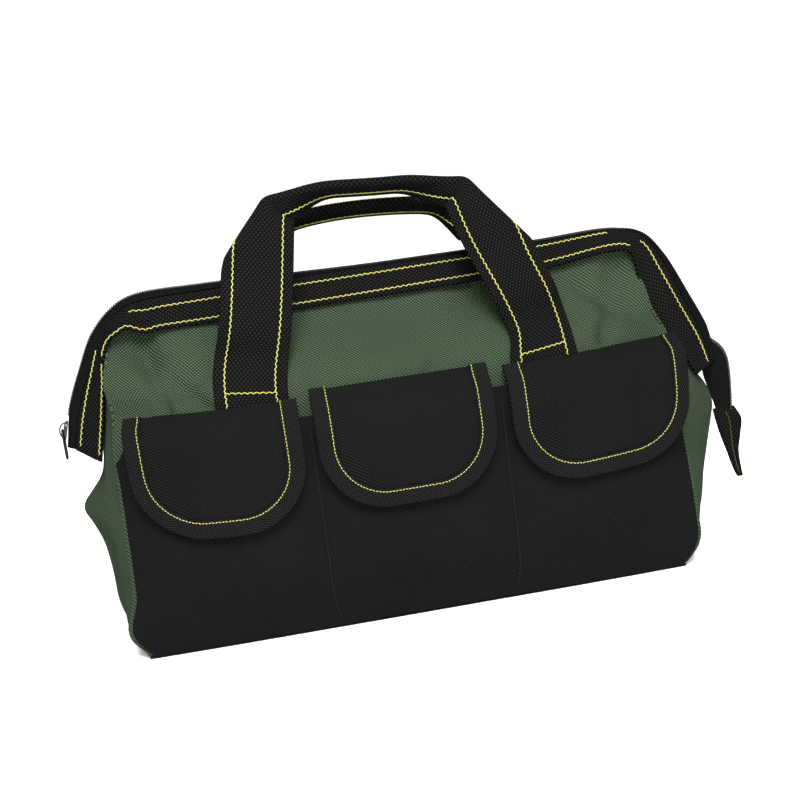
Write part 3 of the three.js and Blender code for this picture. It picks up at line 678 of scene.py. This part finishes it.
# %% Flap tapes and their stitches
TAPE_SEWN, TAPE_FACE = 10.9, 1.6
tape_roll = np.linspace(0, np.pi, 9)
tape_profile = np.concatenate([
    [(12.5, 1.5), (11.8, 1.75), (10.8, 1.6), (9.5, 1.8), (6, 1.85), (3, 1.8)],
    stacked(1.4 - 1.4 * np.sin(tape_roll), -0.8 + 2.6 * np.cos(tape_roll)),
    [(3, -3.4), (11.5, -3.4), (12.5, -3.1), (12.5, -2.4)],
    [(3, -2.3), (1.2, -1.9), (1.2, 0.3), (3, 0.7), (12.5, 0.8)]])[None]


def edge_path(wide):
    """The flap's edge from top left round to top right: rows of x, z and the direction inwards."""
    down, turn = np.linspace(FLAP_TOP, FLAP_CENTRE, 30)[:-1], np.linspace(0, np.pi / 2, 40)
    reach = wide / 2 - FLAP_ROUND
    side = stacked(-wide / 2, down, 1.0, 0.0)
    bend = stacked(-reach - FLAP_ROUND * np.cos(turn), FLAP_CENTRE - FLAP_ROUND * np.sin(turn),
                   np.cos(turn), np.sin(turn))
    level = stacked(np.linspace(-reach, reach, 30)[1:-1], FLAP_BOTTOM, 0.0, 1.0)
    half = np.concatenate([side, bend])
    return np.concatenate([half, level, half[::-1] * np.array([-1, 1, -1, 1])])


def along_edge(middle, wide, rise, inward, above):
    """Points inside a flap's edge by a distance, and above its face by another: rows along the edge."""
    x, z, in_x, in_z = edge_path(wide).T[..., None]
    at_x, at_z = middle + x + in_x * inward, z + in_z * inward
    return flap_face(at_x, at_z + rise, lift_of(at_x, at_z, middle, wide) + above)


flap_stitches = []
for side, place in FLAPS.items():
    ring = along_edge(*place, tape_profile[..., 0], tape_profile[..., 1])
    points, faces, _ = tubes(ring[None])
    tape_flat = stacked(tape_profile[..., 0] * MM, spread(ring)[:, 4:5, 1]).reshape(-1, 2)
    make(f"{side}_flap_tape", (points, faces, tape_flat), ribbed_tape, "webbing", f"flap_binding_{side}")
    line = along_edge(*place, TAPE_SEWN, TAPE_FACE)[:, 0]
    up = along_edge(*place, TAPE_SEWN, TAPE_FACE + 3)[:, 0] - line
    flap_stitches.append(thread(line, up, swing=0.2, radius=0.3, lift=0.0, dip=0.55, pitch=4.6))
make("flap_stitches", together(*flap_stitches), yellow_thread, "webbing")

# %% [markdown]
# ## Webbing round the mouth
# The gate frame inside the mouth is covered with webbing that runs up one arm, along the top and down the
# other. A table gives x and z of its inner edge, x and z of its outer edge, and how far the zip stands out
# past it. Across, it is a flat oval profile with a dent where each line of stitches pulls it down. The
# front and back halves are the same shape, mirrored.

# %% Mouth webbing
MOUTH = np.array([
    (-214, 130, -232, 139, 6), (-208, 158, -224.5, 166, 7.5), (-203, 184, -213, 193, 7),
    (-199, 207, -202, 215, 6.5), (-193, 216, -188, 231, 4.8), (-180, 217.5, -174, 237.5, 4.8),
    (-120, 217.5, -120, 239.5, 3.8), (0, 218.5, 0, 239, 0.8), (120, 220.5, 120, 239, 0.6),
    (188, 224.5, 188, 239, 0.3), (192.5, 214, 204, 231.5, 2.5), (194, 198.5, 216, 213, 5),
    (206, 170, 231, 180, 6.5), (219.5, 148, 241.5, 155, 7.5), (231, 125, 248, 130, 6)], float)
BAND_WIDE, BAND_HALF = 24, 1.8
mouth_t = np.linspace(0, 1, 420)
last_row = len(mouth_t) - 1


def mouth_edges(t):
    """Inner and outer edge of the front webbing: curves through the table, the inner one further out
    to the front by four millimetres at the arms' ends, and puckered near the left corner by two bells."""
    flare = 17.5 + 4.0 * (1 - ease(130, 217, MOUTH[:, 1]))
    inner = curve(stacked(MOUTH[:, 0], -flare, MOUTH[:, 1]), t)
    outer = curve(stacked(MOUTH[:, 2], -7.0, MOUTH[:, 3]), t)
    pucker = 4.0 * bell((inner[:, 0] + 182) / 6) - 1.5 * bell((inner[:, 0] + 168) / 6)
    inner[:, 2] += pucker * ease(208, 215, inner[:, 2])
    return inner, outer


def make_pair(name, faces, flat, material, slot, node):
    """The same cloth twice: as it is for the front half of the mouth, and mirrored for the back half."""
    make(f"front_{name}", shell(*faces, flat), material, slot, f"{node}_front")
    make(f"back_{name}", shell(*map(mirrored, faces), flat), material, slot, f"{node}_back")


inner_edge, outer_edge = mouth_edges(mouth_t)
band_w = np.concatenate([[0, 0.006, 0.02, 0.05], np.linspace(0.09, 0.91, 40), [0.95, 0.98, 0.994, 1]])
band_sheet = between(inner_edge, outer_edge, band_w)
band_up = -normals(band_sheet)
band_up *= np.sign(-band_up[..., 1:2])
sewn_low = np.interp(outer_edge[:, 0], (-180, 184), (0.11, 0.27))
sewn_high = np.interp(outer_edge[:, 0], (-180, 184), (0.68, 0.88))
dents = sum(bell((band_w[None] - line[:, None]) / 0.045) for line in (sewn_low, sewn_high))
band_half = np.maximum(BAND_HALF * rim(2 * band_w - 1, 14) - 0.45 * dents, 0.02)
band_wave = 0.35 * np.sin(mouth_t * 61)[:, None] * np.sin(np.pi * band_w)[None]
front_of = band_sheet + band_up * (band_half + np.minimum(band_wave, 0))[..., None]
rear_of = band_sheet - band_up * band_half[..., None]
band_flat = strip_flat(BAND_WIDE * band_w, (inner_edge + outer_edge) / 2)
make_pair("mouth_webbing", (front_of, rear_of), band_flat, strap_webbing, "webbing", "mouth_band")

# %% [markdown]
# ## Stitches on the mouth webbing
# Two lines run along the top, two down the left arm and one down the right arm. Each line is a share of
# the webbing's width, with the part of its length that is sewn, and it is sewn again on the back half.

# %% Mouth stitches
SEWN_LINES = ((sewn_low, 0.205, 0.655), (sewn_high, 0.35, 0.63), (0.07, 0.012, 0.19), (0.78, 0.012, 0.2),
              (0.77, 0.7, 0.996))


def line_along(points, w, shares):
    """A line along a grid at a share of its width on each row: the two nearest columns blended."""
    shares = np.broadcast_to(shares, len(points))
    k = np.clip(np.searchsorted(w, shares) - 1, 0, len(w) - 2)
    part = ((shares - w[k]) / (w[k + 1] - w[k]))[:, None]
    row = np.arange(len(points))
    return points[row, k] * (1 - part) + points[row, k + 1] * part


lines = []
for share, first, last in SEWN_LINES:
    rows = slice(int(first * last_row), int(last * last_row))
    path, up = line_along(front_of, band_w, share)[rows], line_along(band_up, band_w, share)[rows]
    lines += [thread(path, up), thread(mirrored(path), mirrored(up))]
make("mouth_stitches", together(*lines), yellow_thread, "webbing")

# %% [markdown]
# ## Zip
# Between the two halves of webbing the zip stands up as a low ridge: a strip of zip cloth on each side
# and a row of nylon teeth along the top. Each tooth is a small arch across the ridge, and all of them are
# made at once: one arch profile times an array of places along the ridge.

# %% Zip cloth and teeth
TAPE_HALF, TOOTH_PITCH, TEETH_FROM = 0.55, 1.9, 0.06
along_outer = unit(np.gradient(outer_edge, axis=0))
ridge_out = unit(stacked(-along_outer[:, 2], 0.0, along_outer[:, 0]))
ridge_rise = np.interp(mouth_t * (len(MOUTH) - 1), np.arange(len(MOUTH)), MOUTH[:, 4])
ridge_line = outer_edge * np.array([1.0, 0.0, 1.0]) + ridge_out * ridge_rise[:, None]
tape_w = np.linspace(0, 1, 9)
tape_sheet = between(outer_edge + ridge_out * 0.6, ridge_line - 3 * SIDEWAYS, tape_w)
tape_up = normals(tape_sheet)
tape_up *= np.sign(-tape_up[..., 1:2])
tape_sheet = tape_sheet + tape_up * (0.6 * np.sin(np.pi * tape_w))[None, :, None]
tape_faces = (tape_sheet + TAPE_HALF * tape_up, tape_sheet - TAPE_HALF * tape_up)
make_pair("zip_cloth", tape_faces, None, zip_cloth, "zip_tape", "zip_tape")


def teeth(places, along, out, wide, tall, bar):
    """Arched bars, one at each place: y = cos(a) * wide / 2 and sin(a) * tall outwards over half a turn
    and a bit, with six-sided rings of the bar's radius."""
    a = np.linspace(-0.35, np.pi + 0.35, 7)
    turn = np.arange(6) * np.pi / 3
    spine, round_way = stacked(np.cos(a) * wide / 2, np.sin(a) * tall), stacked(np.cos(a), np.sin(a))
    ring = spine[:, None] + bar * np.cos(turn)[None, :, None] * round_way[:, None]
    thick = np.broadcast_to(bar * np.sin(turn), ring.shape[:2])
    return tubes(places[:, None, None] + ring[None, ..., :1] * SIDEWAYS
                 + ring[None, ..., 1:] * out[:, None, None] + thick[None, ..., None] * along[:, None, None])


ridge_run = run_along(ridge_line)
tooth_run = np.arange(ridge_run[int(TEETH_FROM * last_row)], ridge_run[-1], TOOTH_PITCH)
tooth_at = read_line(tooth_run, ridge_run, ridge_line)
tooth_out = unit(read_line(tooth_run, ridge_run, ridge_out))
tooth_on = unit(read_line(tooth_run, ridge_run, np.gradient(ridge_line, axis=0)))
arches = teeth(tooth_at - 0.5 * tooth_out, tooth_on, tooth_out, 4.6, 1.5, 0.62)
core_side = np.broadcast_to(SIDEWAYS, tooth_at.shape)
core = rings_round(tooth_at - 0.3 * tooth_out, core_side, tooth_out, 2.1, 0.8, 8)
make("zip_teeth", together(arches, tubes(core[None])), tooth_nylon, "zip_coil", "zip_coil")

# %% [markdown]
# ## Zip tail and end tab
# Past the right arm the zip runs on free for a few centimetres and hangs down, its teeth on its right edge.
# Both are shapes between a left and a right edge, given at a few
# heights; the tail is a thin sheet of cloth, and the tab is puffed and sewn down its middle.

# %% Tail and tab
TAIL = np.array([(150, 241, 247), (146, 242, 252), (139, 242.5, 259.5), (130.5, 243, 263.5),
                 (117, 244.5, 265), (104, 248.5, 265), (88, 253, 264.5)], float)[::-1]
TAB = np.array([(91, 249.5, 267), (80, 251.5, 272.5), (68, 254.5, 271), (55, 258.5, 268.5),
                (40, 263, 269.5), (33, 266, 270.5)], float)[::-1]
TAIL_HALF, TAB_HALF = 0.9, 2.2


def hanging(table, rows, columns):
    """A flat piece in the bag's middle plane: straight across between edges that are curves down the table.
    Gives its points, and the shares from 0 to 1 down it and across it."""
    t, w = np.linspace(0, 1, rows), np.linspace(0, 1, columns)
    left, right = (curve(stacked(table[:, k], 0.0, table[:, 0]), t) for k in (1, 2))
    return between(left, right, w), t[:, None], w[None]


tail_sheet, tail_t, tail_w = hanging(TAIL, 40, 15)
tail_sheet[..., 1] -= 1.4 * np.sin(np.pi * tail_w) * np.sin(np.pi * tail_t)
tail_up = TAIL_HALF * normals(tail_sheet)
tail_cloth = make("tail_cloth", shell(tail_sheet + tail_up, tail_sheet - tail_up), zip_cloth, "zip_tape",
                  "zip_tail")
tail_edge = tail_sheet[:, -1]
tail_run = run_along(tail_edge)
tail_at = read_line(np.arange(1, tail_run[-1], TOOTH_PITCH), tail_run, tail_edge)
tail_on = unit(np.gradient(tail_at, axis=0))
tail_out = unit(np.cross(tail_on, SIDEWAYS))
tail_out *= np.sign(tail_out[:, :1])
make("tail_teeth", teeth(tail_at - 0.6 * tail_out, tail_on, tail_out, 3.6, 1.5, 0.6), tooth_nylon, "zip_coil")

tab_sheet, tab_t, tab_w = hanging(TAB, 60, 31)
tab_round = rim(2 * tab_w - 1, 6) * rim(2 * tab_t - 1, 20)
tab_half = np.maximum(tab_round * (TAB_HALF - 0.9 * bell((tab_w - 0.5) / 0.12)), 0.05)[..., None]
tab_up = normals(tab_sheet)
tab_faces = (tab_sheet + tab_up * tab_half, tab_sheet - tab_up * tab_half)
make("end_tab_webbing", shell(*tab_faces), strap_webbing, "webbing", "zip_end_tab")
tab_line = [thread(face[6:-4, 15], way * tab_up[6:-4, 15], swing=0.4, radius=0.34)
            for face, way in zip(tab_faces, (1, -1))]
make("tab_stitches", together(*tab_line), olive_thread, "webbing")

# %% [markdown]
# ## Slider and wire pull
# The cast metal slider sits at the left end of the zip. A waisted plate, broad at the end where the two
# halves of the zip part, carries an arched bridge, and the loop of wire that hangs from the bridge is the
# one hard piece on the bag that swings, so it rides on its own body. The frame's joint says where.

# %% Slider and pull
HINGE_HIGH, SEAT_AT = 3.6, 0.03
hinge = np.array(frame["joints"][0]["pos_m"]) / MM
seat_out = unit(read_line(SEAT_AT, mouth_t, ridge_out))
seat = hinge - seat_out * HINGE_HIGH
seat_on = np.array([seat_out[2], 0.0, -seat_out[0]])


def on_slider(side, ahead, out):
    """A point of the slider from its own three directions: across the zip, along it and away from the bag."""
    return seat - side[..., None] * SIDEWAYS + ahead[..., None] * seat_on + out[..., None] * seat_out


round_end = np.linspace(0, np.pi, 25)
flank_side, flank_ahead = np.linspace(4.6, 3, 8), np.linspace(0.4, -5.6, 8)
plate_side = np.concatenate([5 * np.cos(round_end), -flank_side, np.linspace(-2.6, 2.6, 9), flank_side[::-1]])
plate_ahead = np.concatenate([2 + 5 * np.sin(round_end), flank_ahead, np.full(9, -7.0), flank_ahead[::-1]])
plate_levels = np.array([(0.0, 0.93), (0.35, 1.0), (1.5, 1.0), (2.1, 0.9), (2.5, 0.68)])
plate = on_slider(plate_levels[:, 1:] * plate_side, plate_levels[:, 1:] * plate_ahead,
                  np.broadcast_to(plate_levels[:, :1], (5, len(plate_side))))
arc = np.linspace(0, np.pi, 25)[:, None]
ring_turn = np.arange(10)[None] * np.pi / 5
bridge_long, bridge_tall = 5.3 + 0.6 * np.cos(ring_turn), 3.5 + 0.6 * np.cos(ring_turn)
bridge = on_slider(np.broadcast_to(1.4 * np.sin(ring_turn), (25, 10)), np.cos(arc) * bridge_long,
                   1.9 + np.sin(arc) * bridge_tall)
make("slider_body", together(tubes(plate[None]), tubes(bridge[None])), slider_zinc, "slider_metal",
     "zip_slider")

PULL_LONG, PULL_WIDE, PULL_WIRE = 22.0, 8.0, 1.5
loop_turn = np.linspace(0, 2 * np.pi, 64, endpoint=False)
loop_way = stacked(0.0, np.cos(loop_turn), np.sin(loop_turn))
loop_line = hinge + loop_way * (PULL_WIDE / 2)
loop_line[:, 2] -= PULL_WIDE / 2 + np.where(loop_way[:, 2] < 0, PULL_LONG - PULL_WIDE, 0)
loop_top = np.broadcast_to(np.array([1.0, 0.0, 0.0]), loop_way.shape)
wire = rings_round(loop_line, loop_way, loop_top, PULL_WIRE / 2, PULL_WIRE / 2, 10)
make("wire_loop", tubes(wire[None], joined=True), pull_steel, "pull_wire", "zip_pull", body="pull")

# %% [markdown]
# ## The path of a handle
# Each handle is one length of 50 mm webbing. Its feet are sewn flat to the wall under the flaps, its legs
# lean in to the mouth, and the grip arches between two corners. The path is found as a row of stations:
# a smooth curve up one leg, half the grip, and the same again on the other side.

# %% Handle stations
HANDLES = {
    "front": dict(knee=(93, 214), bend=(82, 262), corner=(74, 297.5), crown=299.6, depth=27, lean=-1.16,
                  settle=4, fold_from=(253, 239), left_up=5, left_out=1.0, bow=7.0,
                  bow_at=(168, 192, 196, 256)),
    "back": dict(knee=(97, 212), bend=(92, 248), corner=(87, 273), crown=285, depth=9, lean=1.5,
                 settle=2, fold_from=(205, 205), left_up=2.5, left_out=0.0, bow=12.0,
                 bow_at=(180, 215, 238, 290))}
STRAP_HALF, STRAP_THICK, FOOT_GAP = 25.0, 2.4, 0.9
STRAP_OFF = FOOT_GAP + STRAP_THICK / 2
FOOT_Z, FOOT_TOP, FOOT_OUT = np.array([148.0, 160.0, 172.0]), 172.0, 102.5
LEG_STEPS, GRIP_STEPS = 11, 6


def stations(knee, bend, corner, crown, depth):
    """The strap's middle line: equal steps up the leg's curve, equal steps along half the grip, which arches
    by one minus (x / corner)^2, then mirrored left to right."""
    foot = before(-FOOT_OUT / half_length(FOOT_Z), FOOT_Z, STRAP_OFF)
    across, rise = np.array([knee, bend, corner], float).T
    leg_y = foot[2, 1] + (-depth - foot[2, 1]) * (rise - FOOT_TOP) / (corner[1] - FOOT_TOP)
    fine = curve(np.concatenate([foot, stacked(-across, leg_y, rise)]), np.linspace(0, 1, 600))
    run = run_along(fine)
    leg = read_line(np.linspace(0, run[-1], LEG_STEPS + 1), run, fine)
    x = -corner[0] * (1 - np.arange(1, GRIP_STEPS + 1) / GRIP_STEPS)
    arch = corner[1] + (crown - corner[1]) * (1 - (x / corner[0]) ** 2)
    half = np.concatenate([leg, stacked(x, -depth, arch)])
    return np.concatenate([half, (half * np.array([-1.0, 1.0, 1.0]))[-2::-1]])


print("stations on a handle:", 2 * (LEG_STEPS + GRIP_STEPS) + 1)

# %% [markdown]
# ## Folding the webbing
# Near the top the strap is folded in half lengthways to make a grip. A cross-section is walked step by
# step across the strap's width while it turns at the fold, and the stations carry it along the path.
# Thick webbing can't turn a sharp corner, so at the end each row is averaged with its neighbours.

# %% Handle surfaces
STRAP_ROWS, STRAP_SOFT = 300, 24
FOLD_ANGLE, FOLD_EDGE, FOLD_PAST, FOLD_SOFT = 2.85, 27, 2, 4
strap_w = np.linspace(-STRAP_HALF, STRAP_HALF, 61)


def folded(spine, corner_z, fold_from):
    """How far across and how far behind the strap's line each point of its width lies: sums of cos and sin
    of small steps that turn to the fold angle at a line, which moves in from the edge as the strap climbs."""
    start = np.where(spine[:, 0] < 0, *fold_from)
    closed = np.clip((spine[:, 2] - start) / (corner_z - start), 0, 1)
    fold_at = ((FOLD_EDGE + FOLD_PAST) * (1 - closed) - FOLD_PAST)[:, None]
    step = np.diff(strap_w)
    turn = FOLD_ANGLE * ease(fold_at - FOLD_SOFT, fold_at + FOLD_SOFT, (strap_w[:-1] + step / 2)[None])
    zero = np.zeros((len(spine), 1))
    over, back = (np.hstack([zero, (way(turn) * step).cumsum(axis=1)])[..., None] for way in (np.cos, np.sin))
    return over - STRAP_HALF, back


def settled(sheet, spine, left_up, left_out, bow, bow_at):
    """The strap as it lies: the left corner moved up and out, the right leg bowed out, its inner edge most,
    and each row averaged with its neighbours many times."""
    on_left = ease(225, 290, sheet[..., 2]) * (1 - ease(-60, 25, sheet[..., 0]))
    climb, outward = spine[:, 2:], strap_w[None] / STRAP_HALF
    bowed = ease(bow_at[0], bow_at[1], climb) * (1 - ease(bow_at[2], bow_at[3] - 20 * outward, climb))
    sheet[..., 0] += bow * bowed * (0.85 - 0.4 * outward) * (spine[:, :1] > 0) - left_out * on_left
    sheet[..., 2] += left_up * on_left
    for _ in range(STRAP_SOFT):
        sheet[1:-1] = (sheet[:-2] + 2 * sheet[1:-1] + sheet[2:]) / 4
    return sheet


def strap_sheet(knee, bend, corner, crown, depth, lean, settle, fold_from, **lie):
    """Middle surface of a handle's strap: at each row the folded width is laid out along two directions
    that lean over by an angle along the grip, and below the knee it eases into the wall's own face."""
    middle = stations(knee, bend, corner, crown, depth)
    way = unit(np.diff(middle, axis=0))
    come, go = np.vstack([way[:1], way]), np.vstack([way, way[-1:]])
    along = unit(come + go)
    stretch = 1 / np.maximum(0.5, np.sum(along * go, axis=1, keepdims=True))
    stretch[[0, -1]] = 1
    rear = unit(SIDEWAYS - along * along[:, 1:2])
    out = np.cross(along, rear)
    number = np.arange(len(middle), dtype=float)
    near = np.minimum(number, number[::-1])
    tilt = (lean * ease(LEG_STEPS, LEG_STEPS + settle, near))[:, None]
    out_tilted = out * np.cos(tilt) + rear * np.sin(tilt)
    rear_tilted = rear * np.cos(tilt) - out * np.sin(tilt)
    rows = np.linspace(0, 1, STRAP_ROWS)
    spine, out_way, rear_way, flat_way = (
        curve(line, rows) for line in (middle, out_tilted * stretch, rear_tilted, out))
    over, back = folded(spine, corner[1], fold_from)
    loose = spine[:, None] + out_way[:, None] * over + rear_way[:, None] * back
    flat = spine[:, None] + flat_way[:, None] * over
    sewn = before(flat[..., 0] / half_length(flat[..., 2]), flat[..., 2], STRAP_OFF)
    sheet = sewn + (loose - sewn) * ease(FOOT_TOP, knee[1], spine[:, 2])[:, None, None]
    return settled(sheet, spine, **lie)


front_strap = strap_sheet(**HANDLES["front"])
back_strap = mirrored(strap_sheet(**HANDLES["back"]))
print("top of the grips:", front_strap[..., 2].max().round(1), back_strap[..., 2].max().round(1))

# %% [markdown]
# ## Handle straps
# The surface becomes webbing with a thickness that thins at the edges and dents along two stitch lines.
# The thread shows on both faces, and one more line crosses each foot where it leaves the wall.

# %% Straps and their stitches
SEWN_AT, SEWN_ROW = (-17.0, 17.0), 173


def strap_piece(name, node, sheet):
    """A handle strap and its stitches: two faces off the middle surface, thinner at the edges and dented
    where the two stitch lines run, with thread on both faces and a line across each foot."""
    up, half_way, centre = normals(sheet), STRAP_ROWS // 2, sheet[:, len(strap_w) // 2]
    dent = sum(bell((strap_w - w) / 1.6) for w in SEWN_AT)
    half = STRAP_THICK / 2 * np.maximum(rim(strap_w / STRAP_HALF, 40), 0.0447) - 0.25 * dent
    faces = (sheet + up * half[None, :, None], sheet - up * half[None, :, None])
    make(name, shell(*faces, strip_flat(strap_w, centre)), strap_webbing, "webbing", node, sharp=70.0)
    from_row = np.abs(centre[:, 2] - SEWN_ROW)
    foot_rows = (np.argmin(from_row[:half_way]), half_way + np.argmin(from_row[half_way:]))
    lines = []
    for face, sign in zip(faces, (1, -1)):
        for w in SEWN_AT:
            lines.append(thread(line_along(face, strap_w, w)[6:-6], sign * line_along(up, strap_w, w)[6:-6]))
        for row in foot_rows:
            lines.append(thread(face[row, 9:-9], sign * up[row, 9:-9]))
    make(f"{name}_stitches", together(*lines), yellow_thread, "webbing")


strap_piece("front_handle_strap", "handle_front", front_strap)
strap_piece("back_handle_strap", "handle_back", back_strap)

# %% [markdown]
# ## Floor and light
# A plain pale floor and a bright sky give the soft light of a product photograph. The sky is dimmer to the
# left and right, so that the ends of the bag fall into shade. One broad lamp hangs high in front, and a
# wide weak one stands at the front right.

# %% Stage
floor_mesh = bpy.data.meshes.new("pale_floor")
floor_mesh.from_pydata([(-6, -6, 0), (6, -6, 0), (6, 6, 0), (-6, 6, 0)], [], [(0, 1, 2, 3)])
pale_floor = bpy.data.objects.new("pale_floor", floor_mesh)
floor_mesh.materials.append(plain("pale floor", (0.97, 0.97, 0.97), 0.9, 0.0, 0.0))
scene = bpy.context.scene
scene.collection.objects.link(pale_floor)

scene.world = bpy.data.worlds.new("white sky")
scene.world.use_nodes = True
sky = scene.world.node_tree
sky_way = add_node(sky, "TexCoord", {}).outputs["Generated"]
across_sky = add_node(sky, "SeparateXYZ", {0: sky_way}).outputs["X"]
dimmer = add_node(sky, "MapRange", {
    "Value": sum_node(sky, "ABSOLUTE", across_sky), "From Min": 0.4, "From Max": 0.9, "To Min": 1.3,
    "To Max": 0.4}, interpolation_type="SMOOTHSTEP")
fill(sky, sky.nodes["Background"], {"Color": (1, 1, 1, 1), "Strength": dimmer.outputs[0]})
scene.view_settings.view_transform = "Standard"
bag_middle = Vector((0.0, 0.0, 0.130))


def lamp(name, place, size, power):
    """A square soft lamp aimed at the middle of the bag."""
    light = bpy.data.lights.new(name, "AREA")
    light.size, light.energy = size, power
    holder = bpy.data.objects.new(name, light)
    holder.location = place
    holder.rotation_euler = (bag_middle - Vector(place)).to_track_quat("-Z", "Y").to_euler()
    scene.collection.objects.link(holder)


lamp("broad lamp", (-0.1, -1.6, 2.1), 1.1, 150)
lamp("side lamp", (0.9, -1.9, 1.0), 1.4, 14)
print("lamps:", len(bpy.data.lights))

# %% [markdown]
# ## Camera
# The camera stands a metre away, a little to the left of the bag and above it, and is tipped about seven
# degrees, as the photograph was. Its three directions are worked out from the angles and set as a matrix.

# %% Camera
yaw, elevation, tip = np.radians([-6.80, 13.17, -7.39])
CAMERA_FAR = 1.031
backward = Vector((np.sin(yaw) * np.cos(elevation), -np.cos(yaw) * np.cos(elevation), np.sin(elevation)))
level = Vector((np.cos(yaw), np.sin(yaw), 0.0))
upward = backward.cross(level)
right = level * np.cos(tip) + upward * np.sin(tip)
above = upward * np.cos(tip) - level * np.sin(tip)
eye = bpy.data.cameras.new("eye")
eye.sensor_width, eye.lens, eye.shift_x, eye.shift_y = 36.0, 61.9, 0.0115, 0.012
camera = bpy.data.objects.new("camera", eye)
turned = Matrix((right, above, backward)).transposed().to_4x4()
camera.matrix_world = Matrix.Translation(bag_middle + backward * CAMERA_FAR) @ turned
scene.collection.objects.link(camera)
scene.camera = camera
print("camera at:", camera.matrix_world.translation)
